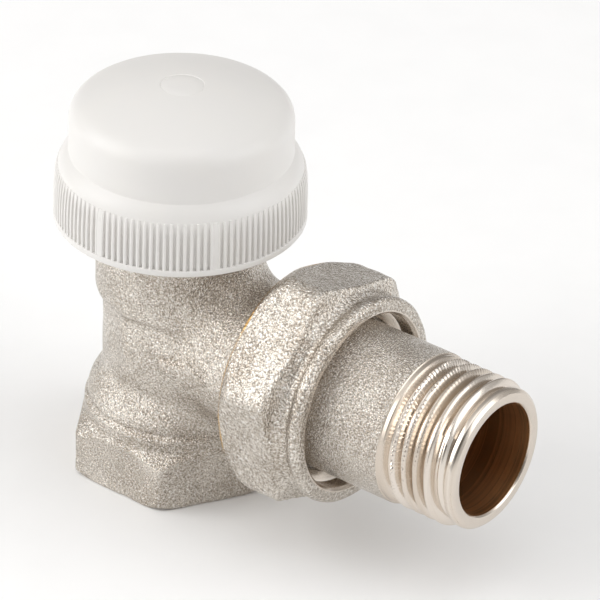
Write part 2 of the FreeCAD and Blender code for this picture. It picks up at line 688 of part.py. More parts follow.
def cap_cavity():
    """The cap's inside: a threaded skirt, a straight wall and a crowned roof."""
    bore = CAP_THREAD_MAJOR + SCREW_GAP
    groove = bore + CAP_THREAD_GROOVE
    thread_first = CAP_BASE + CAP_THREAD_FIRST
    thread_end = CAP_BASE + CAP_CAVITY_HEIGHT
    wall = CAP_DOME_RADIUS - CAP_WALL
    sphere = CAP_CROWN_SPHERE - CAP_WALL
    roof = CAP_BASE + CAP_HEIGHT - CAP_WALL
    roof_side = CAP_BASE + CAP_DOME_STRAIGHT
    edge = CAP_CROWN_EDGE - CAP_WALL
    half_edge = edge / 2
    outline = [(0, CAP_BASE), (groove, CAP_BASE), (bore, CAP_BASE + 0.5)]
    outline += thread_rings(bore, groove, thread_first, CAP_THREAD_PITCH, CAP_THREAD_RINGS)
    outline += [(bore, thread_end), (wall, thread_end), (wall, roof_side)]
    outline += [(wall - 0.4, roof_side + 1.1, edge, roof - crown_drop(edge, sphere))]
    outline += [(half_edge, roof - crown_drop(half_edge, sphere), 0, roof)]
    return turned(outline)


def hand_cap():
    """The plastic cap: ribbed skirt, female thread, hollow dome and the thrust pad's pocket."""
    pocket_radius = PAD_RADIUS + RUNNING_GAP
    pocket = cylinder(pocket_radius, PAD_LOW, PAD_LOW + PAD_THICKNESS + FACE_GAP)
    inside_roof = CAP_BASE + CAP_HEIGHT - CAP_WALL / 2
    boss = cylinder(pocket_radius + PAD_RIM, PAD_LOW + PAD_LIP, inside_roof)
    return cap_shell().cut(cap_cavity()).fuse(boss).cut(pocket).removeSplitter()


def thrust_pad():
    """The steel disc in the cap's roof that bears on the pin."""
    high = PAD_LOW + PAD_THICKNESS
    return turned([
        (0, PAD_LOW),
        (PAD_RADIUS - 0.3, PAD_LOW),
        (PAD_RADIUS, PAD_LOW + 0.3),
        (PAD_RADIUS, high),
        (0, high),
    ])


def tail_pipe():
    """The union tail: a sealed spigot, a collar, a barrel and the outlet's male thread."""
    groove_floor = SPIGOT_RADIUS - 2 * TAIL_SEAL_WIRE
    groove_low = TAIL_SEAL_MIDDLE - TAIL_SEAL_GROOVE / 2
    groove_high = TAIL_SEAL_MIDDLE + TAIL_SEAL_GROOVE / 2
    last_root = TAIL_THREAD_FIRST + (TAIL_THREAD_TURNS - 1 + ROOT_SHARE) * PIPE_PITCH
    outline = [
        (OUTLET_BORE, TAIL_SPIGOT_START),
        (SPIGOT_RADIUS - 0.4, TAIL_SPIGOT_START),
        (SPIGOT_RADIUS, TAIL_SPIGOT_START + 0.4),
        (SPIGOT_RADIUS, groove_low),
        (groove_floor, groove_low),
        (groove_floor, groove_high),
        (SPIGOT_RADIUS, groove_high),
        (SPIGOT_RADIUS, TAIL_COLLAR_START),
        (TAIL_COLLAR_RADIUS - 0.2, TAIL_COLLAR_START),
        (TAIL_COLLAR_RADIUS, TAIL_COLLAR_START + 0.2),
        (TAIL_COLLAR_RADIUS, TAIL_COLLAR_END),
        (TAIL_BARREL_RADIUS, TAIL_COLLAR_END),
        (TAIL_BARREL_RADIUS, TAIL_BARREL_END - 0.9),
        (HALF_INCH_MINOR, TAIL_BARREL_END + 0.5),
    ]
    outline += thread_rings(
        HALF_INCH_MINOR, HALF_INCH_MAJOR, TAIL_THREAD_FIRST, PIPE_PITCH, TAIL_THREAD_TURNS)
    outline += [
        (TAIL_END_RADIUS, last_root + 0.5),
        (TAIL_END_RADIUS, TAIL_END - 0.4),
        (TAIL_END_RADIUS - 0.4, TAIL_END),
        (TAIL_BORE + 0.25, TAIL_END),
        (TAIL_BORE, TAIL_END - 0.25),
        (TAIL_BORE, TAIL_COLLAR_END + 0.6),
        (OUTLET_BORE, TAIL_COLLAR_START + 1.2),
    ]
    return along_outlet(turned(outline))


def tail_seal():
    """The O-ring on the tail's spigot."""
    inner = SPIGOT_RADIUS - 2 * TAIL_SEAL_WIRE + SEAL_GAP
    return along_outlet(seal_ring(inner, TAIL_SEAL_WIRE, TAIL_SEAL_MIDDLE))


def union_nut():
    """The nut that draws the tail onto the body: hexagon, turned neck and rounded front lip."""
    front = NUT_BACK + NUT_LENGTH
    hex_end = NUT_BACK + NUT_HEX_LENGTH
    shoulder = TAIL_COLLAR_END + FACE_GAP
    shoulder_end = shoulder + NUT_SHOULDER_LENGTH
    cone_end = shoulder_end + 0.7
    envelope = turned([
        (0, NUT_BACK),
        (NUT_CORNER - 1.3, NUT_BACK),
        (NUT_CORNER - 0.35, NUT_BACK + 0.8, NUT_CORNER, NUT_BACK + 2.0),
        (NUT_CORNER, hex_end - 0.9),
        (NUT_CORNER - 1.9, hex_end + 0.4, NUT_NECK_RADIUS, hex_end + 1.6),
        (NUT_NECK_RADIUS, hex_end + 2.2),
        (NUT_LIP_RADIUS, front - 1.5),
        (NUT_LIP_RADIUS, front - 0.7),
        (NUT_LIP_RADIUS - 0.25, front - 0.2, NUT_LIP_RADIUS - 0.8, front),
        (0, front),
    ])
    prism = hexagon(NUT_ACROSS_FLATS, NUT_BACK - 1, front + 1, 90 + NUT_CORNER_ANGLE)
    bore = UNION_MAJOR + SCREW_GAP
    groove = bore + NUT_THREAD_GROOVE
    passage = [(0, NUT_BACK), (groove, NUT_BACK), (bore, NUT_BACK + 0.5)]
    passage += thread_rings(bore, groove, NUT_BACK + NUT_THREAD_FIRST, PIPE_PITCH, UNION_THREAD_TURNS)
    passage += [
        (bore, shoulder),
        (NUT_SHOULDER_BORE, shoulder),
        (NUT_SHOULDER_BORE, shoulder_end),
        (NUT_LIP_BORE, cone_end),
        (NUT_LIP_BORE, front - 0.5),
        (NUT_LIP_BORE + 0.5, front),
        (0, front),
    ]
    return along_outlet(envelope.common(prism).cut(turned(passage)).removeSplitter())


PIECES = (
    valve_body,
    insert_housing,
    housing_seal,
    gland_nut,
    gland_seal,
    pin_seal,
    spindle_seal,
    push_pin,
    spindle,
    spring_plate,
    retaining_clip,
    disc_holder,
    disc_washer,
    disc_nut,
    return_spring,
    hand_cap,
    thrust_pad,
    tail_pipe,
    tail_seal,
    union_nut,
)


def main():
    """Writes one STEP file for each piece."""
    os.makedirs("parts", exist_ok=True)
    for piece in PIECES:
        piece().exportStep("parts/" + piece.__name__ + ".step")


main()
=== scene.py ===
import math

import bmesh
import bpy
import numpy as np
import openvdb
from bpy.props import FloatProperty, FloatVectorProperty, IntProperty, PointerProperty
from bpy.types import Operator, Panel, PropertyGroup
from mathutils import Matrix, Vector


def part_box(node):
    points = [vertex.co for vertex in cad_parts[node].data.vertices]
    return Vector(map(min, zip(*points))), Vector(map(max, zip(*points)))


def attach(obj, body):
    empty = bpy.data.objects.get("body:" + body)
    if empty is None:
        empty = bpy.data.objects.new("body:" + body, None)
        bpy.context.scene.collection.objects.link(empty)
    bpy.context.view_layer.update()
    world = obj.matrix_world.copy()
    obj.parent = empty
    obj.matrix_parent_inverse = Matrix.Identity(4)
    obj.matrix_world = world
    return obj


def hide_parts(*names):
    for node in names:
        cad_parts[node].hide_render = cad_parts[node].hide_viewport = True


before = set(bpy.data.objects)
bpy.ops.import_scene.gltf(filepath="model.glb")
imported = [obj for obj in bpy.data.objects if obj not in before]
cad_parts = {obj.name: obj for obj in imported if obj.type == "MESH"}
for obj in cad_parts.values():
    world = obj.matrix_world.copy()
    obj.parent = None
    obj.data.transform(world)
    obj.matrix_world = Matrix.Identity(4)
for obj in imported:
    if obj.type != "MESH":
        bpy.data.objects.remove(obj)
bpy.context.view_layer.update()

bl_info = {
    "name": "Angle Radiator Valve",
    "version": (1, 0, 0),
    "blender": (4, 5, 0),
    "location": "3D Viewport > Sidebar > Valve",
    "description": "Builds the forged, turned and moulded surfaces of an angle radiator valve",
    "category": "Add Mesh",
}

# Outlines are in millimetres. Meshes and the panel's sizes are in metres.
MILLIMETRE = 0.001
FLAT_ANGLE = math.radians(32)


def reach(node, axis):
    """A CAD node's lowest and highest coordinate along an axis, in millimetres."""
    low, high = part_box(node)
    return low[axis] / MILLIMETRE, high[axis] / MILLIMETRE


AXIS_HEIGHT = sum(reach("tail_pipe", 2)) / 2
BODY_TOP = reach("valve_body", 2)[1]
BRANCH_END = reach("valve_body", 0)[1]
NUT_BACK, NUT_FRONT = reach("union_nut", 0)
TAIL_BACK, TAIL_END = reach("tail_pipe", 0)
CAP_BASE, CAP_TOP = reach("hand_cap", 2)
CAP_RIM = reach("hand_cap", 0)[1]
PAD_LOW, PAD_HIGH = reach("thrust_pad", 2)
PIPE_PITCH = 1.814
PIPE_MAJOR = 10.478
PIPE_MINOR = 9.316
UNION_ROOT = 12.05
UNION_CREST = 13.2
INLET_APOTHEM = 13.0
NUT_APOTHEM = 15.0
NUT_CORNER = math.radians(43.2)
SEAT_RADIUS = 6.0
WATER_WAY = 6.5
BARREL_RADIUS = 10.65
FULL_TURN = 2 * math.pi
ONTO_OUTLET = (
    Matrix.Translation((0, 0, AXIS_HEIGHT * MILLIMETRE)) @ Matrix.Rotation(math.pi / 2, 4, "Y"))


# Panel settings


def length(name, description, millimetres):
    """A length property shown in the scene's units."""
    return FloatProperty(
        name=name, description=description, default=millimetres * MILLIMETRE,
        min=0.0, unit="LENGTH", subtype="DISTANCE", precision=5,
    )


def number(name, description, default, low, **more):
    """A plain number's property with a lowest value."""
    return FloatProperty(name=name, description=description, default=default, min=low, **more)


def angle(name, description, degrees):
    """An angle's property."""
    return FloatProperty(
        name=name, description=description, default=math.radians(degrees), unit="ROTATION",
        subtype="ANGLE")


def colour(name, description, value):
    """A colour property."""
    return FloatVectorProperty(
        name=name, description=description, default=value, size=3, min=0.0, max=1.0, subtype="COLOR",
    )


class ForgingSettings(PropertyGroup):
    body_step: length("Body sampling", "Distance between the body's surface samples", 0.24)
    nut_step: length("Nut sampling", "Distance between the nut's surface samples", 0.2)
    branch_fillet: length("Branch fillet", "Softness of the joint between stem and branch", 3.6)
    hexagon_fillet: length("Hexagon fillet", "Softness of the joint between hexagon and ledge", 0.4)
    arrow_relief: length("Arrow relief", "How far the flow arrow stands off the branch", 0.6)
    scoop_depth: length("Scoop depth", "How far the nut's flats drop towards the lip", 3.6)
    scoop_length: length("Scoop length", "Length of that drop along the nut", 1.3)


class ThreadSettings(PropertyGroup):
    notches: IntProperty(
        name="Notches", description="Chatter notches on one turn of the tail's thread", default=103, min=0)
    notch_depth: length("Notch depth", "Depth of the chatter notches on the first crests", 0.34)
    notched_turns: number("Notched turns", "Turns over which the notches fade away", 4.2, 0.1)
    run_out: number("Run-out", "Turns over which a thread rises from nothing", 0.35, 0.01)


class CapSettings(PropertyGroup):
    ribs: IntProperty(name="Ribs", description="Grip ribs round the cap", default=118, min=3)
    rib_depth: length("Rib depth", "Depth of the grooves between ribs", 0.48)
    rib_width: length("Rib width", "Width of one rib at its foot", 0.64)
    gate_mark: length("Gate mark", "Radius of the moulding mark on the crown", 2.9)
    plastic: colour("Plastic", "Colour of the cap's plastic", (0.775, 0.76, 0.74))


class FinishSettings(PropertyGroup):
    nickel: colour("Nickel", "Plating on the forged brass", (0.73, 0.675, 0.605))
    nickel_shade: colour("Nickel shade", "Darker patches of the plating", (0.36, 0.30, 0.235))
    # Painted shade: the colour given to the bottoms of the blasted grain
    nickel_pit_shade: colour("Nickel pit painted shade", "Painted shade on the plating at the bottom of the blasted grain", (0.25, 0.205, 0.155))
    # Painted highlight: the colour given to the tops of the blasted grain
    nickel_peak_highlight: colour("Nickel peak painted highlight", "Painted highlight on the plating on the tops of the blasted grain", (0.95, 0.93, 0.90))
    turned_nickel: colour("Turned nickel", "Plating on the turned threads and faces", (0.78, 0.715, 0.645))
    turned_shade: colour("Turned shade", "Plating between the turning marks", (0.66, 0.585, 0.505))
    bare_brass: colour("Bare brass", "Brass without its plating", (0.80, 0.52, 0.20))
    bore: colour("Bore", "Dull brass inside the water way", (0.72, 0.42, 0.20))
    steel: colour("Steel", "Pin, spring, clip and pad", (0.62, 0.62, 0.61))
    rubber: colour("Rubber", "Seals and the disc washer", (0.03, 0.03, 0.032))
    grain: length("Blast grain", "Size of the grains on the blasted body", 0.25)
    nut_grain: length("Nut grain", "Size of the grains on the blasted nut", 0.33)
    grain_depth: length("Grain depth", "Depth of the blasted grain", 0.21)


class StageSettings(PropertyGroup):
    floor: colour("Floor", "Colour of the floor", (0.97, 0.97, 0.97))
    key_power: number("Key power", "Power of the main softbox", 3.6, 0.0, unit="POWER")
    fill_power: number("Fill power", "Power of the softbox on the outlet's side", 2.0, 0.0, unit="POWER")
    top_power: number("Top power", "Power of the overhead softbox", 0.8, 0.0, unit="POWER")
    surround: number("Surround", "Brightness of the white studio", 0.92, 0.0)
    azimuth: angle("Azimuth", "Camera direction, from the front towards the outlet", 37.144)
    elevation: angle("Elevation", "Camera height above the horizon", 31.321)
    roll: angle("Roll", "Camera turn about its own axis", 1.86)
    distance: length("Distance", "Camera distance from the object", 613.69)
    aim_right: length("Aim right", "How far right of the cap's axis the camera aims", 16.472)
    aim_up: length("Aim up", "How far above the outlet's axis the camera aims", 3.252)
    lens: number("Lens", "Focal length", 269.65, 1.0)


# Meshes


def soften(outline):
    """An outline whose points (radius, along, easing) have their corners eased by short curves."""
    eased = []
    for index, point in enumerate(outline):
        here = np.array(point[:2], float)
        if len(point) < 3:
            eased.append(tuple(here))
            continue
        before = np.array(outline[index - 1][:2], float) - here
        after = np.array(outline[(index + 1) % len(outline)][:2], float) - here
        start = here + before / np.linalg.norm(before) * point[2]
        end = here + after / np.linalg.norm(after) * point[2]
        for t in (0.0, 0.25, 0.5, 0.75, 1.0):
            eased.append(tuple((1 - t) ** 2 * start + 2 * t * (1 - t) * here + t ** 2 * end))
    return eased


def facing_out(mesh):
    """Merges a closed mesh's doubles and points its faces outwards."""
    builder = bmesh.new()
    builder.from_mesh(mesh)
    bmesh.ops.remove_doubles(builder, verts=builder.verts, dist=1e-7)
    bmesh.ops.recalc_face_normals(builder, faces=builder.faces)
    builder.to_mesh(mesh)
    builder.free()


def shaded(mesh):
    """Smooth shading with sharp edges kept at the corners."""
    mesh.shade_smooth()
    mesh.set_sharp_from_angle(angle=FLAT_ANGLE)


def lathe(name, outline, segments=160, closed=True):
    """A mesh turned about Z. A closed outline makes a ring, and an open one runs from pole to pole."""
    outline = soften(outline)
    turns = np.linspace(0, FULL_TURN, segments, endpoint=False)
    points, rings = [], []
    for radius, along in outline:
        first = len(points)
        if radius < 1e-6:
            points.append((0, 0, along))
            rings.append([first] * segments)
            continue
        points += [(radius * math.cos(t), radius * math.sin(t), along) for t in turns]
        rings.append(list(range(first, first + segments)))
    faces = []
    pairs = list(zip(rings, rings[1:] + rings[:1])) if closed else list(zip(rings, rings[1:]))
    for low, high in pairs:
        for i in range(segments):
            j = (i + 1) % segments
            face = list(dict.fromkeys((low[i], low[j], high[j], high[i])))
            if len(face) > 2:
                faces.append(face)
    mesh = bpy.data.meshes.new(name)
    mesh.from_pydata((np.array(points) * MILLIMETRE).tolist(), [], faces)
    facing_out(mesh)
    return mesh


def linked(name, mesh, materials):
    """An object for a mesh, at the origin, with its material slots. Each face keeps its slot number."""
    slots = np.zeros(len(mesh.polygons), np.int32)
    mesh.polygons.foreach_get("material_index", slots)
    mesh.materials.clear()
    for material in materials:
        mesh.materials.append(material)
    mesh.polygons.foreach_set("material_index", slots)
    piece = bpy.data.objects.new(name, mesh)
    bpy.context.scene.collection.objects.link(piece)
    return piece


def bore_out(mesh, cutter):
    """Cuts a cutter mesh out of a mesh."""
    piece = linked("blank", mesh, [])
    tool = linked("cutter", cutter, [])
    cut = piece.modifiers.new("cut", "BOOLEAN")
    cut.operation = "DIFFERENCE"
    cut.solver = "MANIFOLD"
    cut.object = tool
    view = bpy.context.evaluated_depsgraph_get()
    result = bpy.data.meshes.new_from_object(piece.evaluated_get(view))
    bpy.data.objects.remove(piece)
    bpy.data.objects.remove(tool)
    return result


def joined(name, meshes, slots):
    """One mesh from several. A slot number gives all of that mesh's faces one slot, and None keeps them."""
    builder = bmesh.new()
    for mesh, slot in zip(meshes, slots):
        first = len(builder.faces)
        builder.from_mesh(mesh)
        builder.faces.ensure_lookup_table()
        if slot is not None:
            for face in builder.faces[first:]:
                face.material_index = slot
    result = bpy.data.meshes.new(name)
    builder.to_mesh(result)
    builder.free()
    return result


def paint_slots(mesh, choose):
    """Sets each face's slot from the arrays of its centre and normal, in millimetres."""
    count = len(mesh.polygons)
    centres = np.zeros(count * 3, np.float32)
    normals = np.zeros(count * 3, np.float32)
    mesh.polygons.foreach_get("center", centres)
    mesh.polygons.foreach_get("normal", normals)
    slots = choose(centres.reshape(-1, 3) / MILLIMETRE, normals.reshape(-1, 3))
    mesh.polygons.foreach_set("material_index", slots.astype(np.int32))
    mesh.update()


# Distance fields for the forgings


def outline_distance(outline, across, along):
    """Signed distance to a closed outline, negative inside it."""
    near = np.full(np.broadcast(across, along).shape, 1e9)
    inside = np.zeros(near.shape, bool)
    for (ax, ay), (bx, by) in zip(outline, outline[1:] + outline[:1]):
        ex, ey = bx - ax, by - ay
        px, py = across - ax, along - ay
        t = np.clip((px * ex + py * ey) / (ex * ex + ey * ey), 0, 1)
        near = np.minimum(near, (px - t * ex) ** 2 + (py - t * ey) ** 2)
        if ey:
            inside ^= ((ay <= along) != (by <= along)) & (px < py * ex / ey)
    return np.sqrt(near) * np.where(inside, -1, 1)


def turned_field(outline, radius, along, step=0.1):
    """Signed distance to a solid turned from an outline, read from a fine table."""
    low = float(along.min())
    radii = np.arange(0, float(radius.max()) + 2 * step, step)
    places = np.arange(low, float(along.max()) + 2 * step, step)
    table = outline_distance(soften(outline), radii[:, None], places[None, :]).astype(np.float32)
    i, j = radius / step, (along - low) / step
    i0, j0 = i.astype(np.int32), j.astype(np.int32)
    u, v = i - i0, j - j0
    near = table[i0, j0] * (1 - v) + table[i0, j0 + 1] * v
    far = table[i0 + 1, j0] * (1 - v) + table[i0 + 1, j0 + 1] * v
    return near * (1 - u) + far * u


def hexagon_field(u, v, apothem, corner):
    """Distance to a hexagonal prism with one corner at an angle."""
    sides = []
    for side in range(3):
        angle = corner + math.radians(30 + 60 * side)
        sides.append(np.abs(u * math.cos(angle) + v * math.sin(angle)))
    return np.maximum.reduce(sides) - apothem


def blend_in(a, b, softness):
    """The union of two fields with a fillet where they meet."""
    share = np.clip(0.5 + 0.5 * (b - a) / softness, 0, 1)
    return b + (a - b) * share - softness * share * (1 - share)


def keep_common(a, b, softness):
    """The common part of two fields with an eased edge."""
    return -blend_in(-a, -b, softness)


class Block:
    """A block of evenly spaced sample points, in millimetres."""

    def __init__(self, low, high, step):
        axes = [np.arange(a, b + step, step, dtype=np.float32) for a, b in zip(low, high)]
        self.low = np.array(low, float)
        self.step = step
        self.x, self.y, self.z = np.meshgrid(*axes, indexing="ij")

    def surface(self, name, field, low=(-99, -99, 0)):
        """The closed mesh of a field's zero surface, held above its lowest corner."""
        grid = openvdb.FloatGrid(10.0)
        grid.copyFromArray(np.ascontiguousarray(field, dtype=np.float32))
        points, quads = grid.convertToQuads(0.0)
        points = np.maximum(self.low + points * self.step, low) * MILLIMETRE
        mesh = bpy.data.meshes.new(name)
        mesh.from_pydata(points.tolist(), [], quads.tolist())
        facing_out(mesh)
        return mesh


# Node trees


class Value:
    """A node's output that sums can be written with. Each operation adds one math node."""

    def __init__(self, tree, socket):
        self.tree = tree
        self.socket = socket

    def __add__(self, other):
        return calc("ADD", self, other)

    def __sub__(self, other):
        return calc("SUBTRACT", self, other)

    def __rsub__(self, other):
        return calc("SUBTRACT", other, self)

    def __mul__(self, other):
        return calc("MULTIPLY", self, other)

    def __truediv__(self, other):
        return calc("DIVIDE", self, other)

    def __rtruediv__(self, other):
        return calc("DIVIDE", other, self)


def node(tree, kind, inputs=None, **settings):
    """Adds a node, sets its properties, and sets or links its inputs."""
    made = tree.nodes.new(kind)
    for name, value in settings.items():
        setattr(made, name, value)
    for socket, value in (inputs or {}).items():
        if isinstance(value, Value):
            link(value, made.inputs[socket])
        else:
            made.inputs[socket].default_value = value
    return made


def link(value, socket):
    """Links a value to a socket of its own tree."""
    value.tree.links.new(value.socket, socket)


def output(tree, kind, inputs=None, index=0, **settings):
    """One output of a new node."""
    return Value(tree, node(tree, kind, inputs, **settings).outputs[index])


def outputs(tree, made):
    """A node's outputs by name."""
    return {socket.name: Value(tree, socket) for socket in made.outputs}


def calc(operation, *values):
    """The output of a math node in the tree of its first value."""
    tree = next(value.tree for value in values if isinstance(value, Value))
    return output(tree, "ShaderNodeMath", dict(enumerate(values)), operation=operation)


def parts(vector):
    """A vector's three coordinates."""
    split = node(vector.tree, "ShaderNodeSeparateXYZ", {0: vector})
    return [Value(vector.tree, socket) for socket in split.outputs]


def ranged(value, start, end, low=0.0, high=1.0):
    """A value mapped from start and end to low and high, and held between them."""
    return output(value.tree, "ShaderNodeMapRange", {0: value, 1: start, 2: end, 3: low, 4: high})


def switch(index, values):
    """The value at a whole-numbered place of a list."""
    made = node(index.tree, "GeometryNodeIndexSwitch", data_type="FLOAT")
    while len(made.index_switch_items) < len(values):
        made.index_switch_items.new()
    link(index, made.inputs[0])
    for place, value in enumerate(values):
        made.inputs[place + 1].default_value = value
    return Value(index.tree, made.outputs[0])


def new_group(name, kind, inputs, results):
    """A node group, its input values and its output node. A socket is a name, a kind and any default."""
    tree = bpy.data.node_groups.new(name, kind)
    for way, sockets in (("INPUT", inputs), ("OUTPUT", results)):
        for label, sort, *default in sockets:
            socket = tree.interface.new_socket(label, in_out=way, socket_type="NodeSocket" + sort)
            if default:
                socket.default_value = default[0]
    return tree, outputs(tree, node(tree, "NodeGroupInput")), node(tree, "NodeGroupOutput")


def new_tree(name, sockets):
    """A Geometry Nodes tree with named inputs, its input values and its output node."""
    geometry = ("Geometry", "Geometry")
    return new_group(name, "GeometryNodeTree", (geometry, *sockets), (geometry,))


def finish_tree(geometry, material, leave):
    """Realizes instances, sets the material and ends the tree."""
    real = output(geometry.tree, "GeometryNodeRealizeInstances", {"Geometry": geometry})
    coated = output(geometry.tree, "GeometryNodeSetMaterial", {"Geometry": real, "Material": material})
    link(coated, leave.inputs[0])


def grid_rows(tree, columns, rows):
    """A flat grid, with its vertices' share along it and their row number."""
    grid = output(tree, "GeometryNodeMeshGrid", {
        "Size X": 1.0, "Size Y": 1.0, "Vertices X": columns, "Vertices Y": rows})
    x, y, _ = parts(output(tree, "GeometryNodeInputPosition"))
    return grid, x + 0.5, calc("ROUND", (y + 0.5) * (rows - 1.0))


def moved_grid(grid, x, y, z):
    """A grid with its vertices moved to new coordinates and its doubles merged."""
    place = output(grid.tree, "ShaderNodeCombineXYZ", {0: x, 1: y, 2: z})
    moved = output(grid.tree, "GeometryNodeSetPosition", {"Geometry": grid, "Position": place})
    return output(grid.tree, "GeometryNodeMergeByDistance", {"Geometry": moved, "Distance": 1e-6})


# A thread's ridge across its pitch: places in pitches, and heights as shares of its depth.
THREAD_ALONG = (-0.44, -0.44, -0.15, -0.08, 0.0, 0.08, 0.15, 0.44, 0.44, -0.44)
THREAD_HEIGHT = (-0.25, 0.0, 0.82, 0.96, 1.0, 0.96, 0.82, 0.0, -0.25, -0.25)
THREAD_SUNK = 0.25
NOTCHED_HEIGHT = 0.8
NOTCH_VARIATION = 37.0


def thread_tree():
    """The tree of a thread's ridge, a right-handed helix about Z that rises from nothing and fades out."""
    tree, get, leave = new_tree("Thread ridge", (
        ("Root radius", "Float"), ("Crest radius", "Float"), ("Pitch", "Float"), ("Turns", "Float"),
        ("Start", "Float"), ("Start angle", "Float"), ("Steps per turn", "Int"), ("Run-out", "Float"),
        ("Notch depth", "Float"), ("Notches", "Int"), ("Notched turns", "Float"),
        ("Material", "Material")))
    columns = get["Steps per turn"] * get["Turns"] + 1.0
    grid, share, row = grid_rows(tree, columns, len(THREAD_ALONG))
    along = switch(row, THREAD_ALONG)
    height = switch(row, THREAD_HEIGHT)
    turn = share * get["Turns"]
    rise = turn / get["Run-out"]
    fall = (get["Turns"] - turn) / get["Run-out"]
    fade = calc("MINIMUM", calc("MINIMUM", rise, fall), 1.0)
    raised = (height + THREAD_SUNK) * fade - THREAD_SUNK
    radius = (get["Crest radius"] - get["Root radius"]) * raised + get["Root radius"]
    dip = (1.0 - calc("COSINE", turn * get["Notches"] * FULL_TURN)) * 0.5
    uneven = output(tree, "ShaderNodeTexNoise", {
        "W": turn * NOTCH_VARIATION, "Scale": 1.0, "Detail": 1.0}, noise_dimensions="1D")
    faded = calc("MAXIMUM", 1.0 - turn / get["Notched turns"], 0.0)
    crest = calc("GREATER_THAN", height, NOTCHED_HEIGHT)
    radius = radius - dip * uneven * (faded * crest) * get["Notch depth"]
    angle = turn * FULL_TURN + get["Start angle"]
    z = along * get["Pitch"] + (turn * get["Pitch"] + get["Start"])
    ridge = moved_grid(grid, radius * calc("COSINE", angle), radius * calc("SINE", angle), z)
    finish_tree(ridge, get["Material"], leave)
    return tree


# A grip rib: half widths and heights across it, then places, insets and closed ends along it.
RIB_ACROSS = (-1.0, -1.0, -0.62, 0.0, 0.62, 1.0, 1.0, -1.0)
RIB_HEIGHT = (-0.5, 0.0, 0.86, 1.0, 0.86, 0.0, -0.5, -0.5)
RIB_SUNK = 0.5
RIB_ALONG = (0.0, 0.01, 0.36, 0.50, 0.74, 0.88, 0.97, 1.0)
RIB_INSET = (0.0, 0.0, 0.0, 0.06, 0.26, 0.52, 0.95, 1.3)
RIB_WHOLE = (0.0, 1.0, 1.0, 1.0, 1.0, 1.0, 1.0, 0.0)
BROAD_RIBS = 4.0


def rib_tree():
    """The tree of the cap's grip ribs, with broad plain ones in four places."""
    tree, get, leave = new_tree("Grip ribs", (
        ("Ribs", "Int"), ("Rib width", "Float"), ("Rib depth", "Float"), ("Skirt radius", "Float"),
        ("Low", "Float"), ("High", "Float"), ("Plain pair spacing", "Int"), ("Plain width", "Float"),
        ("First angle", "Float"), ("Material", "Material")))
    grid, share, row = grid_rows(tree, len(RIB_ALONG), len(RIB_ACROSS))
    ring = calc("ROUND", share * (len(RIB_ALONG) - 1.0))
    whole = switch(ring, RIB_WHOLE)
    height = (switch(row, RIB_HEIGHT) + RIB_SUNK) * whole - RIB_SUNK
    x = get["Skirt radius"] - switch(ring, RIB_INSET) * get["Rib depth"] - (1.0 - height) * get["Rib depth"]
    y = switch(row, RIB_ACROSS) * whole * get["Rib width"] * 0.5
    z = switch(ring, RIB_ALONG) * (get["High"] - get["Low"]) + get["Low"]
    rib = moved_grid(grid, x, y, z)
    points = output(tree, "GeometryNodePoints", {"Count": get["Ribs"] + BROAD_RIBS})
    index = output(tree, "GeometryNodeInputIndex")
    plain = calc("GREATER_THAN", index, get["Ribs"] - 0.5)
    late = index - get["Ribs"]
    pair = calc("MODULO", late, 2.0) * get["Plain pair spacing"]
    half = calc("FLOOR", late / 2.0) * (get["Ribs"] * 0.5)
    place = output(tree, "ShaderNodeMix", {0: plain, 2: index + 0.5, 3: pair + half})
    angle = place / get["Ribs"] * FULL_TURN + get["First angle"]
    width = output(tree, "ShaderNodeMix", {0: plain, 2: 1.0, 3: get["Plain width"]})
    rotation = output(tree, "ShaderNodeCombineXYZ", {2: angle})
    copies = output(tree, "GeometryNodeInstanceOnPoints", {
        "Points": points, "Instance": rib,
        "Rotation": output(tree, "FunctionNodeEulerToRotation", {0: rotation}),
        "Scale": output(tree, "ShaderNodeCombineXYZ", {0: 1.0, 1: width, 2: 1.0})})
    finish_tree(copies, get["Material"], leave)
    return tree


def grown(name, tree, values):
    """The plain mesh that a tree makes from its input values."""
    carrier = bpy.data.objects.new(name, bpy.data.meshes.new(name))
    bpy.context.scene.collection.objects.link(carrier)
    modifier = carrier.modifiers.new(name, "NODES")
    modifier.node_group = tree
    for item in tree.interface.items_tree:
        if item.item_type == "SOCKET" and item.in_out == "INPUT" and item.name in values:
            modifier[item.identifier] = values[item.name]
    view = bpy.context.evaluated_depsgraph_get()
    mesh = bpy.data.meshes.new_from_object(carrier.evaluated_get(view))
    carrier.modifiers.remove(modifier)
    bpy.data.objects.remove(carrier)
    if not mesh.polygons:
        raise RuntimeError(f"{name} came out empty")
    facing_out(mesh)
    return mesh


def thread(name, root, crest, turns, start, material, angle=0.0, steps=96, notched=False):
    """A thread's ridge about Z, in millimetres along it."""
    settings = bpy.context.scene.valve_threads
    return grown(name, tree_named("Thread ridge", thread_tree), {
        "Root radius": root * MILLIMETRE, "Crest radius": crest * MILLIMETRE,
        "Pitch": PIPE_PITCH * MILLIMETRE, "Turns": float(turns), "Start": start * MILLIMETRE,
        "Start angle": angle, "Steps per turn": steps, "Run-out": settings.run_out,
        "Notch depth": settings.notch_depth if notched else 0.0,
        "Notches": settings.notches, "Notched turns": settings.notched_turns, "Material": material})


def tree_named(name, make):
    """A node tree, made once."""
    return bpy.data.node_groups.get(name) or make()


# Materials


def noise(vector, scale, detail, **more):
    """A noise texture's value."""
    inputs = {"Vector": vector, "Scale": scale, "Detail": detail, **more}
    return output(vector.tree, "ShaderNodeTexNoise", inputs)


def shader_group(name, inputs, results, make):
    """A shader group. make turns its input values into its results, in their order."""
    tree, get, leave = new_group(
        name, "ShaderNodeTree", (("Vector", "Vector"), *inputs), [(label, "Float") for label in results])
    for label, value in zip(results, make(get["Vector"], get)):
        link(value, leave.inputs[label])
    return tree


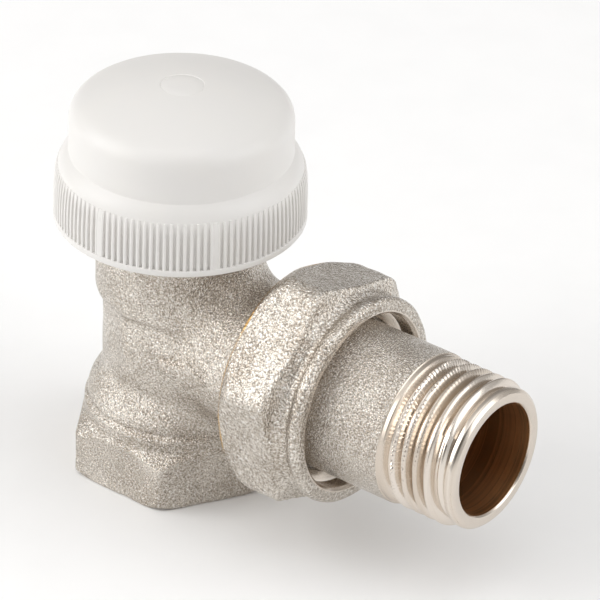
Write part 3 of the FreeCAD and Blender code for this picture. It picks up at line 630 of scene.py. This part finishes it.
def grain(vector, get):
    """Blasted grain: its height, a pit mask for painted shade, a peak mask for painted highlights, and
    broad patches.
    """
    scale = 1.0 / get["Grain size"]
    coarse = noise(vector, scale, 2.0, Roughness=0.62)
    fine = output(vector.tree, "ShaderNodeTexVoronoi", {"Vector": vector, "Scale": scale * 1.35})
    patches = noise(vector, 190.0, 3.0)
    # The pit and peak masks come from the grain's height. They drive painted shade in the hollows and
    # painted glints on the tops.
    return (
        coarse + fine * 0.35, ranged(coarse, 0.50, 0.34), ranged(coarse, 0.52, 0.66),
        ranged(patches, 0.35, 0.65))


def turning(vector, get):
    """Turning marks: fine rings along a coordinate, as a height and a shade."""
    shifted = get["Along"] + noise(vector, 260.0, 1.0) * 0.00006
    fine, broad = [
        output(vector.tree, "ShaderNodeTexNoise", {
            "W": shifted / get["Ring size"], "Scale": scale, "Detail": detail}, noise_dimensions="1D")
        for scale, detail in ((1.0, 2.0), (0.13, 1.0))]
    return fine, ranged((fine + broad) * 0.5, 0.38, 0.62)


def handling(vector, get):
    """Handling wear: specks and faint rubbed patches."""
    specks = noise(vector, 1.0 / get["Speck size"], 1.0)
    return ranged(specks, 0.74, 0.80), ranged(noise(vector, 120.0, 4.0), 0.40, 0.70)


SHADER_GROUPS = {
    "Blasted grain": ([("Grain size", "Float", 0.00035)], ("Height", "Pits", "Peaks", "Patches"), grain),
    "Turning marks": (
        [("Along", "Float", 0.0), ("Ring size", "Float", 0.00012)], ("Height", "Shade"), turning),
    "Handling wear": ([("Speck size", "Float", 0.0006)], ("Specks", "Rubbed"), handling),
}


def group_node(vector, name, **inputs):
    """The outputs of a placed copy of a shared shader group."""
    tree = tree_named(name, lambda: shader_group(name, *SHADER_GROUPS[name]))
    values = {"Vector": vector, **{label.replace("_", " "): value for label, value in inputs.items()}}
    return outputs(vector.tree, node(vector.tree, "ShaderNodeGroup", values, node_tree=tree))


def new_material(name):
    """A material with its shader and its object coordinates."""
    material = bpy.data.materials.new(name)
    material.use_nodes = True
    tree = material.node_tree
    return material, tree.nodes["Principled BSDF"], output(tree, "ShaderNodeTexCoord", index="Object")


def mixed(share, first, second):
    """A colour between two colours."""
    values = {0: share, 6: first, 7: second}
    return output(share.tree, "ShaderNodeMix", values, index=2, data_type="RGBA")


def opaque(value, strength=1.0):
    """A colour with full alpha, darkened by a strength below 1."""
    return (*[strength * part for part in value], 1.0)


def give_shader(shader, base, roughness, height, depth, metallic=0.0):
    """Links a shader's colour, roughness and bump."""
    bump = output(height.tree, "ShaderNodeBump", {"Height": height, "Distance": depth, "Strength": 1.0})
    link(base, shader.inputs["Base Color"])
    link(roughness, shader.inputs["Roughness"])
    link(bump, shader.inputs["Normal"])
    shader.inputs["Metallic"].default_value = metallic


def blasted_nickel(name, grain_size, edge_at=None):
    """Nickel plate on blasted brass, with painted shade in the grain's pits and painted highlights on its
    peaks. edge_at is the place along X of a thin line of bare brass.
    """
    look = bpy.context.scene.valve_finish
    material, shader, place = new_material(name)
    blast = group_node(place, "Blasted grain", Grain_size=grain_size)
    wear = group_node(place, "Handling wear", Speck_size=0.0009)
    halfway = [0.5 * (a + b) for a, b in zip(look.nickel, look.nickel_shade)]
    base = mixed(blast["Patches"], opaque(look.nickel), opaque(halfway))
    # Painted shade: the grain's pits are darkened in the base colour
    base = mixed(blast["Pits"] * 0.75, base, opaque(look.nickel_pit_shade))
    # Painted highlight: the grain's peaks are lightened towards white in the base colour
    base = mixed(blast["Peaks"] * 0.8, base, opaque(look.nickel_peak_highlight))
    if edge_at is not None:
        off = calc("ABSOLUTE", parts(place)[0] - edge_at * MILLIMETRE)
        scuffed = ranged(wear["Rubbed"], 0.1, 0.5, 0.25)
        base = mixed(ranged(off, 0.00024, 0.00014) * scuffed, base, opaque(look.bare_brass))
    roughness = ranged(wear["Rubbed"], 0.0, 1.0, 0.27, 0.2)
    give_shader(shader, base, roughness, blast["Height"], look.grain_depth, metallic=1.0)
    return material


def turned_metal(name, bright, dull, axis, roughness, depth):
    """Turned metal with rings across an axis (0 is X, 2 is Z)."""
    material, shader, place = new_material(name)
    marks = group_node(place, "Turning marks", Along=parts(place)[axis], Ring_size=0.0004)
    wear = group_node(place, "Handling wear", Speck_size=0.0008)
    base = mixed(marks["Shade"], opaque(bright), opaque(dull))
    base = mixed(wear["Rubbed"] * 0.25, base, opaque(dull))
    rough = ranged(wear["Rubbed"] * marks["Shade"], 0.0, 1.0, roughness, roughness + 0.12)
    give_shader(shader, base, rough, marks["Height"], depth, metallic=1.0)
    return material


def moulded(name, colour_value, roughness, grain_size, depth, tint):
    """Moulded plastic or rubber with a fine skin and faint specks."""
    material, shader, place = new_material(name)
    skin = group_node(place, "Blasted grain", Grain_size=grain_size)
    wear = group_node(place, "Handling wear", Speck_size=0.0007)
    base = mixed(skin["Patches"] * 0.35, opaque(colour_value), opaque(tint))
    base = mixed(wear["Specks"] * 0.25, base, opaque(tint))
    rough = ranged(wear["Rubbed"], 0.0, 1.0, roughness, roughness + 0.1)
    give_shader(shader, base, rough, skin["Height"], depth)
    return material


def finishes():
    """Every finish of the valve, made once, by name."""
    look = bpy.context.scene.valve_finish
    plastic = bpy.context.scene.valve_cap.plastic
    makers = {
        "blasted_nickel_body": (blasted_nickel, look.grain),
        "blasted_nickel_nut": (blasted_nickel, look.nut_grain, NUT_BACK + 0.6),
        "blasted_nickel_tail": (blasted_nickel, look.grain * 0.9),
        "turned_nickel_x": (turned_metal, look.turned_nickel, look.turned_shade, 0, 0.21, 0.000008),
        "turned_nickel_z": (turned_metal, look.turned_nickel, look.turned_shade, 2, 0.2, 0.000008),
        "bore_brass": (turned_metal, look.bore, opaque(look.bore, 0.55)[:3], 0, 0.42, 0.000012),
        "turned_brass": (
            turned_metal, look.bare_brass, opaque(look.bare_brass, 0.8)[:3], 2, 0.24, 0.000006),
        "bright_steel": (turned_metal, look.steel, opaque(look.steel, 0.8)[:3], 2, 0.22, 0.000004),
        "seal_rubber_skin": (moulded, look.rubber, 0.5, 0.0002, 0.00001, (0.06, 0.06, 0.06)),
        "cap_plastic_skin": (moulded, plastic, 0.34, 0.0005, 0.000006, (0.80, 0.78, 0.745)),
    }
    return {
        name: bpy.data.materials.get(name) or make(name, *values)
        for name, (make, *values) in makers.items()}


# Pieces


def stem_outline():
    """The body's upright, as (radius, height): flare, waist, neck and the insert's collar."""
    return [
        (0, 7.1), (12.85, 7.1), (12.85, 10.15, 0.25), (12.2, 10.65, 0.15), (12.38, 11.2), (12.26, 12.0),
        (12.0, 12.8), (11.5, 13.8), (10.84, 14.8), (10.45, 15.8), (10.37, 16.8), (10.37, 26.3, 0.6),
        (10.62, 27.25, 0.3), (11.25, 27.65, 0.3), (11.42, 28.5), (11.42, BODY_TOP, 0.4), (0, BODY_TOP)]


def branch_outline():
    """The body's outlet arm, as (radius, distance along the outlet)."""
    return [
        (0, 0), (10.3, 0), (10.3, 17.4, 0.5), (UNION_ROOT, 18.4, 0.3), (UNION_ROOT, BRANCH_END, 0.4),
        (0, BRANCH_END)]


def inlet_envelope():
    """The rounding of the inlet hexagon, as (radius, height)."""
    return [
        (0, 0), (13.9, 0), (14.85, 0.55, 0.15), (14.85, 6.6, 0.15), (12.3, 8.45), (0, 8.45)]


def arrow_relief(block, relief):
    """How far the flow arrow on the body's front side stands out, pointing along the outlet."""
    outline = [
        (5.5, -1.0), (9.5, -1.0), (9.5, -2.4), (13.3, 0.0), (9.5, 2.4), (9.5, 1.0), (5.5, 1.0)]
    flat = outline_distance(outline, block.x[:, 0, :], block.z[:, 0, :] - AXIS_HEIGHT - 0.2)[:, None, :]
    return relief * np.clip(0.5 - flat / 0.3, 0, 1) * (block.y < -6)


def body_blank(settings):
    """The body's forged outside as a closed mesh without its bores."""
    margin, half = 0.6, 15.6
    low, high = (-half, -half, -margin), (BRANCH_END + margin, half, BODY_TOP + margin)
    block = Block(low, high, settings.body_step / MILLIMETRE)
    stem = turned_field(stem_outline(), np.hypot(block.x, block.y), block.z)
    branch = turned_field(branch_outline(), np.hypot(block.y, block.z - AXIS_HEIGHT), block.x)
    prism = hexagon_field(block.x, block.y, INLET_APOTHEM, 0.0)
    envelope = turned_field(inlet_envelope(), np.hypot(block.x, block.y), block.z)
    body = blend_in(stem, branch, settings.branch_fillet / MILLIMETRE)
    hexagon = keep_common(prism, envelope, 0.2)
    body = blend_in(body, hexagon, settings.hexagon_fillet / MILLIMETRE)
    body = body - arrow_relief(block, settings.arrow_relief / MILLIMETRE)
    uneven = np.sin(block.x * 0.9 + block.z * 0.5) * np.sin(block.y * 0.8 - block.z * 0.4) * 0.05
    turned_from = 17.5
    body = np.where(block.x > turned_from, body, body + uneven)
    body = np.maximum(body, np.maximum(-block.z, block.z - BODY_TOP))
    return block.surface("valve_body_forged", body)


def inlet_bore():
    """Cutter for the inlet's threaded bore and the seat's bore."""
    return lathe("inlet_bore", [
        (0, -1.0), (10.75, -1.0), (10.75, 0.0), (PIPE_MAJOR, 0.5), (PIPE_MAJOR, 12.2), (8.516, 12.8),
        (8.516, 13.4), (SEAT_RADIUS, AXIS_HEIGHT - 6.8), (SEAT_RADIUS, AXIS_HEIGHT - 4.5),
        (0, AXIS_HEIGHT - 4.5)], closed=False)


def chamber_bore():
    """Cutter for the chamber over the seat and the insert's socket."""
    low = BODY_TOP - 8.6
    seat = AXIS_HEIGHT - 4.75
    return lathe("chamber_bore", [
        (0, seat), (6.8, seat), (7.0, seat - 0.55), (8.3, seat - 0.55), (8.3, low - 0.3), (9.0, low),
        (9.0, BODY_TOP - 1.6), (9.95, BODY_TOP - 1.6), (9.95, BODY_TOP + 1.0), (0, BODY_TOP + 1.0)],
        closed=False)


def outlet_bore():
    """Cutter for the way from the chamber to the outlet and the tail's socket."""
    mesh = lathe("outlet_bore", [
        (0, 7.9), (WATER_WAY, 7.9), (WATER_WAY, BRANCH_END - 4.5), (9.3, BRANCH_END - 4.5),
        (9.3, BRANCH_END - 0.4), (9.7, BRANCH_END), (9.7, BRANCH_END + 1.0), (0, BRANCH_END + 1.0)],
        closed=False)
    mesh.transform(ONTO_OUTLET)
    return mesh


def body_slots(centres, normals):
    """Forged outside, turned ends and thread seats, and dull brass in the bores."""
    x, y, z = centres.T
    upright = np.hypot(x, y)
    across = np.hypot(y, z - AXIS_HEIGHT)
    inward = (x * normals[:, 0] + y * normals[:, 1]) < 0
    slots = np.zeros(len(centres))
    turned = (x > 18.0) & (across > 6)
    turned |= (z < 0.3) & (upright < 12.9) | (z > BODY_TOP - 0.2)
    slots[turned] = 1
    bored = (upright < 10.8) & inward & (x < 12) & ((upright < 9.98) | (z < 13))
    bored |= (across < 9.75) & (x > 6) & (y * normals[:, 1] + (z - AXIS_HEIGHT) * normals[:, 2] < 0)
    slots[bored] = 2
    return slots


class VALVE_OT_body(Operator):
    """Build the forged body with its bores, inlet thread, union thread and flow arrow"""
    bl_idname = "valve.body"
    bl_label = "Body"

    def execute(self, context):
        looks = finishes()
        mesh = body_blank(context.scene.valve_forgings)
        for cutter in (inlet_bore(), chamber_bore(), outlet_bore()):
            mesh = bore_out(mesh, cutter)
        paint_slots(mesh, body_slots)
        union = thread("union_thread", UNION_ROOT, UNION_CREST, 3.3, 19.3, looks["turned_nickel_x"])
        union.transform(ONTO_OUTLET)
        inlet = thread("inlet_thread", PIPE_MAJOR, PIPE_MINOR, 6.2, 0.85, looks["turned_nickel_z"])
        mesh = joined("valve_body_forged", [mesh, union, inlet], [None, 1, 2])
        shaded(mesh)
        piece = linked("body_forging", mesh, [
            looks["blasted_nickel_body"], looks["turned_nickel_x"], looks["bore_brass"]])
        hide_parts("valve_body")
        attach(piece, "valve")
        return {"FINISHED"}


def nut_field(block, settings):
    """The nut's outside: a hexagon with scooped fronts, a neck and a rolled lip."""
    u, v = block.y, block.z - AXIS_HEIGHT
    radius = np.hypot(u, v)
    turn = np.arctan2(v, u)
    scoop_length = settings.scoop_length / MILLIMETRE
    wave = 0.3 * np.cos(6 * (turn - NUT_CORNER))
    scoop_start = NUT_BACK + 8.75 - wave + 0.08 * np.sin(3 * turn + 1.0)
    share = np.clip((block.x - scoop_start) / scoop_length, 0, 1)
    depth = settings.scoop_depth / MILLIMETRE * share
    hexagon = hexagon_field(u, v, NUT_APOTHEM - depth, NUT_CORNER)
    blank = turned_field([(across, NUT_BACK + along) for across, along in (
        (0, 0), (14.5, 0), (15.1, 0.5), (15.9, 1.3), (16.6, 2.3), (16.85, 3.2), (16.85, 8.9),
        (16.3, 9.9), (14.6, 10.8), (0, 11.4))], radius, block.x)
    neck = [(across, NUT_BACK + along) for across, along in (
        (0, 7), (14.75, 7), (14.75, 8.5), (14.55, 9.1), (14.15, 9.7), (13.8, 10.25), (13.7, 10.7),
        (13.88, 11.1), (14.25, 11.5), (14.55, 11.95), (14.66, 12.4))]
    lip = [(across, NUT_FRONT - drop) for across, drop in (
        (14.55, 0.45), (14.25, 0.15), (13.8, 0.02), (13.4, 0), (0, 0))]
    neck = turned_field(neck + lip, radius, block.x)
    uneven = np.sin(block.x * 1.3 + u * 0.6) * np.sin(v * 0.7 - block.x * 0.4) * 0.05
    return blend_in(keep_common(hexagon, blank, 0.3), neck, 0.5) + uneven


def nut_bore():
    """Cutter for the nut's thread, its shoulder and its lip."""
    points = [(0, NUT_BACK - 1), (13.75, NUT_BACK - 1), (13.75, NUT_BACK), (13.25, NUT_BACK + 0.5)]
    for turn in range(3):
        middle = NUT_BACK + 1.8 + turn * PIPE_PITCH
        points += [(13.25, middle - 0.7), (13.7, middle - 0.2), (13.7, middle + 0.2), (13.25, middle + 0.7)]
    shoulder = 27.7
    points += [
        (13.25, shoulder), (11.0, shoulder, 0.1), (11.0, shoulder + 0.9, 0.1), (12.3, shoulder + 1.6),
        (12.3, NUT_FRONT - 0.5, 0.2), (12.75, NUT_FRONT), (12.75, NUT_FRONT + 1), (0, NUT_FRONT + 1)]
    mesh = lathe("nut_bore", points, 192, closed=False)
    mesh.transform(ONTO_OUTLET)
    return mesh


def nut_slots(centres, normals):
    """Forged outside, and turned thread, shoulder and lip bore."""
    x, y, z = centres.T
    across = np.hypot(y, z - AXIS_HEIGHT)
    inward = y * normals[:, 1] + (z - AXIS_HEIGHT) * normals[:, 2] < 0
    slots = np.zeros(len(centres))
    slots[(across < 13.8) & inward | (across < 12.9)] = 1
    slots[(x < NUT_BACK + 0.05) & (across < 14.6)] = 1
    return slots


class VALVE_OT_nut(Operator):
    """Build the union nut: scooped hexagon, neck, rolled lip and bore"""
    bl_idname = "valve.nut"
    bl_label = "Union nut"

    def execute(self, context):
        looks = finishes()
        settings = context.scene.valve_forgings
        low = (NUT_BACK - 0.6, -17.6, AXIS_HEIGHT - 17.6)
        high = (NUT_FRONT + 0.6, 17.6, AXIS_HEIGHT + 17.6)
        block = Block(low, high, settings.nut_step / MILLIMETRE)
        field = np.maximum(nut_field(block, settings), np.maximum(NUT_BACK - block.x, block.x - NUT_FRONT))
        mesh = bore_out(block.surface("union_nut_forged", field, (NUT_BACK, -99, 0)), nut_bore())
        paint_slots(mesh, nut_slots)
        shaded(mesh)
        piece = linked("nut_forging", mesh, [looks["blasted_nickel_nut"], looks["turned_nickel_x"]])
        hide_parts("union_nut")
        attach(piece, "nut")
        return {"FINISHED"}


def tail_outline():
    """The tail, as (radius, distance along the outlet), without its thread."""
    return [
        (WATER_WAY, TAIL_BACK, 0.1), (9.2, TAIL_BACK, 0.35), (9.2, 22.375, 0.08), (7.9, 22.375),
        (7.9, 24.275), (9.2, 24.275, 0.08), (9.2, 25.05), (12.9, 25.05, 0.2), (12.9, 27.65, 0.12),
        (BARREL_RADIUS, 27.65, 0.15), (BARREL_RADIUS, 41.75, 0.1), (10.42, 41.9, 0.06),
        (10.42, 42.55, 0.12), (9.45, 43.1), (PIPE_MINOR, 43.7), (PIPE_MINOR, 51.9, 0.2),
        (9.83, 52.35, 0.15), (9.86, TAIL_END - 0.5, 0.25), (9.3, TAIL_END, 0.15), (8.1, TAIL_END, 0.08),
        (7.85, TAIL_END - 0.3, 0.1), (7.85, 28.25), (WATER_WAY, 26.25)]


def tail_slots(centres, normals):
    """Blasted barrel, turned collar, thread and end, and dull brass in the bore."""
    x, y, z = centres.T
    across = np.hypot(y, z - AXIS_HEIGHT)
    inward = y * normals[:, 1] + (z - AXIS_HEIGHT) * normals[:, 2] < 0
    slots = np.ones(len(centres))
    slots[(x > 27.6) & (x < 41.8) & (across > 10)] = 0
    slots[(across < 7.9) & inward & (x < TAIL_END - 0.25)] = 2
    return slots


class VALVE_OT_tail(Operator):
    """Build the union tail: spigot, collar, blasted barrel and notched thread"""
    bl_idname = "valve.tail"
    bl_label = "Union tail"

    def execute(self, context):
        looks = finishes()
        mesh = lathe("tail_turned", tail_outline(), 192)
        ridge = thread(
            "tail_thread", PIPE_MINOR, PIPE_MAJOR, 5.35, 42.15, looks["turned_nickel_x"],
            angle=math.radians(215), steps=412, notched=True)
        mesh.transform(ONTO_OUTLET)
        ridge.transform(ONTO_OUTLET)
        paint_slots(mesh, tail_slots)
        mesh = joined("tail_turned", [mesh, ridge], [None, 1])
        shaded(mesh)
        piece = linked("tail_turning", mesh, [
            looks["blasted_nickel_tail"], looks["turned_nickel_x"], looks["bore_brass"]])
        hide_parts("tail_pipe")
        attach(piece, "tail")
        return {"FINISHED"}


def crown_height(radius, drop=0.0):
    """Height of the cap's crown at a radius."""
    sphere = 37.7
    return CAP_TOP - drop - sphere + math.sqrt(sphere ** 2 - radius ** 2)


def cap_outline(settings):
    """The cap's wall from the crown's middle, round the rim and back to the pad's pocket."""
    floor = CAP_RIM - settings.rib_depth / MILLIMETRE
    gate = settings.gate_mark / MILLIMETRE
    points = [(0, CAP_TOP - 0.03), (1.5, crown_height(1.5, 0.03)), (gate - 0.12, crown_height(gate, 0.03))]
    points += [(gate, crown_height(gate, 0.09)), (gate + 0.12, crown_height(gate + 0.12))]
    points += [(radius, crown_height(radius)) for radius in (4, 5.5, 7, 8.5, 10, 11.3, 12.4)]
    points.append((13.2, crown_height(13.2)))
    points += [(radius, CAP_TOP - drop, *easing) for radius, drop, *easing in (
        (13.6, 2.60), (14.04, 2.90), (14.42, 3.30), (14.72, 3.70), (14.93, 4.20), (15.05, 4.75),
        (15.1, 5.45), (15.12, 9.70, 0.12), (15.45, 10.00), (15.9, 10.55), (16.25, 11.15),
        (16.42, 11.60), (16.55, 12.15), (16.6, 12.50), (floor, 13.25))]
    points += [(floor, CAP_BASE + 0.95, 0.1), (CAP_RIM, CAP_BASE + 0.9, 0.08), (CAP_RIM, CAP_BASE, 0.25)]
    points += [(15.6, CAP_BASE, 0.2), (15.05, CAP_BASE + 0.5)]
    bore, groove = 15.05, 15.6
    for turn in range(3):
        middle = CAP_BASE + 1.4 + 1.5 * turn
        points += [
            (bore, middle - 0.62), (groove, middle - 0.12), (groove, middle + 0.12),
            (bore, middle + 0.62)]
    points += [
        (bore, CAP_BASE + 8.3), (13.5, CAP_BASE + 8.3, 0.4), (13.5, CAP_TOP - 5.15),
        (13.2, CAP_TOP - 4.15), (12.4, CAP_TOP - 3.45)]
    points += [(radius, crown_height(radius, 1.6)) for radius in (11.7, 9.0, 6.4)]
    pocket, rim = PAD_HIGH + 0.05, PAD_LOW + 0.15
    points += [(6.4, rim, 0.1), (5.05, rim, 0.1), (5.05, pocket), (0, pocket)]
    return points


class VALVE_OT_cap(Operator):
    """Build the ribbed hand cap"""
    bl_idname = "valve.cap"
    bl_label = "Hand cap"

    def execute(self, context):
        looks = finishes()
        settings = context.scene.valve_cap
        shell = lathe("hand_cap_moulded", cap_outline(settings), 236, closed=False)
        ribs = grown("grip_ribs", tree_named("Grip ribs", rib_tree), {
            "Ribs": settings.ribs, "Rib width": settings.rib_width, "Rib depth": settings.rib_depth,
            "Skirt radius": (CAP_RIM - 0.02) * MILLIMETRE, "Low": (CAP_BASE + 0.78) * MILLIMETRE,
            "High": (CAP_TOP - 11.7) * MILLIMETRE, "Plain pair spacing": 18, "Plain width": 1.7,
            "First angle": -math.pi / 2, "Material": looks["cap_plastic_skin"]})
        mesh = joined("hand_cap_moulded", [shell, ribs], [0, 0])
        shaded(mesh)
        piece = linked("cap_moulding", mesh, [looks["cap_plastic_skin"]])
        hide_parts("hand_cap")
        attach(piece, "cap")
        return {"FINISHED"}


INNER_FINISHES = {
    "turned_nickel_z": ("insert_housing",),
    "turned_brass": ("gland_nut", "spindle", "disc_holder", "disc_nut"),
    "bright_steel": (
        "push_pin", "retaining_clip", "return_spring", "spring_plate", "thrust_pad"),
    "seal_rubber_skin": (
        "housing_seal", "gland_seal", "pin_seal", "spindle_seal", "disc_washer", "tail_seal"),
}


class VALVE_OT_insert(Operator):
    """Finish the insert, pin, spring, disc, pad and seals"""
    bl_idname = "valve.insert"
    bl_label = "Insert and seals"

    def execute(self, context):
        looks = finishes()
        for finish, names in INNER_FINISHES.items():
            for name in names:
                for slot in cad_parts[name].material_slots:
                    slot.material = looks[finish]
        return {"FINISHED"}


def softbox(name, direction, distance, size, power, tint=(1.0, 1.0, 1.0)):
    """A square area light that faces the valve."""
    data = bpy.data.lights.new(name, "AREA")
    data.shape = "SQUARE"
    data.size = size
    data.energy = power
    data.color = tint
    light = bpy.data.objects.new(name, data)
    way = Vector(direction).normalized()
    light.location = Vector((0.012, 0, 0.025)) + way * distance
    light.rotation_euler = way.to_track_quat("Z", "Y").to_euler()
    bpy.context.scene.collection.objects.link(light)


def surround(settings):
    """A soft white studio: bright overhead, dimmer behind the valve and dark low in front of it."""
    world = bpy.data.worlds.new("Studio")
    world.use_nodes = True
    bpy.context.scene.world = world
    tree = world.node_tree
    place = output(tree, "ShaderNodeTexCoord", index="Generated")
    ramp = node(tree, "ShaderNodeValToRGB", {0: parts(place)[2]})
    stops = ramp.color_ramp.elements
    stops[0].position, stops[0].color = 0.0, (0.62, 0.615, 0.61, 1.0)
    stops[1].position, stops[1].color = 1.0, (1.0, 1.0, 1.0, 1.0)
    stops.new(0.35).color = (0.66, 0.655, 0.65, 1.0)
    stops.new(0.62).color = (0.95, 0.945, 0.94, 1.0)
    shade = Value(tree, ramp.outputs[0])
    for way, start, end, tint in (
            ((-0.6, 0.8, 0.0), 0.1, 0.9, (0.34, 0.325, 0.31, 1.0)),
            ((0.515, -0.686, 0.52), 0.80, 0.95, (0.10, 0.09, 0.08, 1.0))):
        facing = output(tree, "ShaderNodeVectorMath", {0: place, 1: way}, "Value", operation="DOT_PRODUCT")
        shade = mixed(ranged(facing, start, end), shade, tint)
    link(shade, tree.nodes["Background"].inputs["Color"])
    tree.nodes["Background"].inputs["Strength"].default_value = settings.surround


def stage_camera(settings):
    """The camera, aimed just beside the crossing of the valve's two axes."""
    a, e, roll = settings.azimuth, settings.elevation, settings.roll
    back = Vector((math.sin(a) * math.cos(e), -math.cos(a) * math.cos(e), math.sin(e)))
    right = Vector((math.cos(a), math.sin(a), 0))
    up = back.cross(right)
    across = math.cos(roll) * right + math.sin(roll) * up
    above = math.cos(roll) * up - math.sin(roll) * right
    aim = Vector((0, 0, AXIS_HEIGHT * MILLIMETRE)) + settings.aim_right * right + settings.aim_up * up
    data = bpy.data.cameras.new("Camera")
    data.lens = settings.lens
    data.sensor_width = 36.0
    data.clip_start = 0.01
    camera = bpy.data.objects.new("Camera", data)
    place = Matrix((across, above, back)).transposed().to_4x4()
    place.translation = aim + settings.distance * back
    camera.matrix_world = place
    bpy.context.scene.collection.objects.link(camera)
    bpy.context.scene.camera = camera


def floor_material(settings):
    """A pale matt floor with a trace of mottling."""
    material, shader, place = new_material("pale_floor")
    wear = group_node(place, "Handling wear", Speck_size=0.004)
    base = mixed(wear["Rubbed"], opaque(settings.floor), opaque(settings.floor, 0.985))
    link(base, shader.inputs["Base Color"])
    shader.inputs["Roughness"].default_value = 0.9
    shader.inputs["Specular IOR Level"].default_value = 0.1
    return material


class VALVE_OT_stage(Operator):
    """Set the floor, the studio lights and the camera"""
    bl_idname = "valve.stage"
    bl_label = "Stage"

    def execute(self, context):
        settings = context.scene.valve_stage
        half = 3.0
        corner_signs = ((-1, -1), (1, -1), (1, 1), (-1, 1))
        mesh = bpy.data.meshes.new("floor")
        mesh.from_pydata([(half * x, half * y, 0) for x, y in corner_signs], [], [(0, 1, 2, 3)])
        linked("floor", mesh, [floor_material(settings)])
        surround(settings)
        softbox("key", (-0.66, -0.70, 0.50), 0.8, 0.62, settings.key_power, (1.0, 0.995, 0.985))
        softbox("fill", (0.93, 0.30, 0.50), 0.8, 0.62, settings.fill_power)
        softbox("top", (0.1, -0.1, 1.0), 0.9, 0.7, settings.top_power)
        context.scene.view_settings.view_transform = "Standard"
        stage_camera(settings)
        return {"FINISHED"}


class VALVE_PT_panel(Panel):
    """Lists the valve's pieces"""
    bl_idname = "VALVE_PT_panel"
    bl_label = "Angle Radiator Valve"
    bl_space_type = "VIEW_3D"
    bl_region_type = "UI"
    bl_category = "Valve"

    def draw(self, context):
        for step in STEPS:
            self.layout.operator(step)
        for name in GROUPS:
            settings = getattr(context.scene, name)
            box = self.layout.box()
            for key in settings.__annotations__:
                box.prop(settings, key)


STEPS = ("valve.stage", "valve.body", "valve.nut", "valve.tail", "valve.cap", "valve.insert")
GROUPS = {
    "valve_forgings": ForgingSettings,
    "valve_threads": ThreadSettings,
    "valve_cap": CapSettings,
    "valve_finish": FinishSettings,
    "valve_stage": StageSettings,
}
CLASSES = (
    *GROUPS.values(), VALVE_OT_stage, VALVE_OT_body, VALVE_OT_nut, VALVE_OT_tail, VALVE_OT_cap,
    VALVE_OT_insert, VALVE_PT_panel)


def register():
    for item in CLASSES:
        bpy.utils.register_class(item)
    for name, group in GROUPS.items():
        setattr(bpy.types.Scene, name, PointerProperty(type=group))


def unregister():
    for name in GROUPS:
        delattr(bpy.types.Scene, name)
    for item in reversed(CLASSES):
        bpy.utils.unregister_class(item)


def main():
    """Builds the stage and every piece."""
    register()
    for step in STEPS:
        family, name = step.split(".")
        getattr(getattr(bpy.ops, family), name)()


if __name__ == "__main__":
    main()
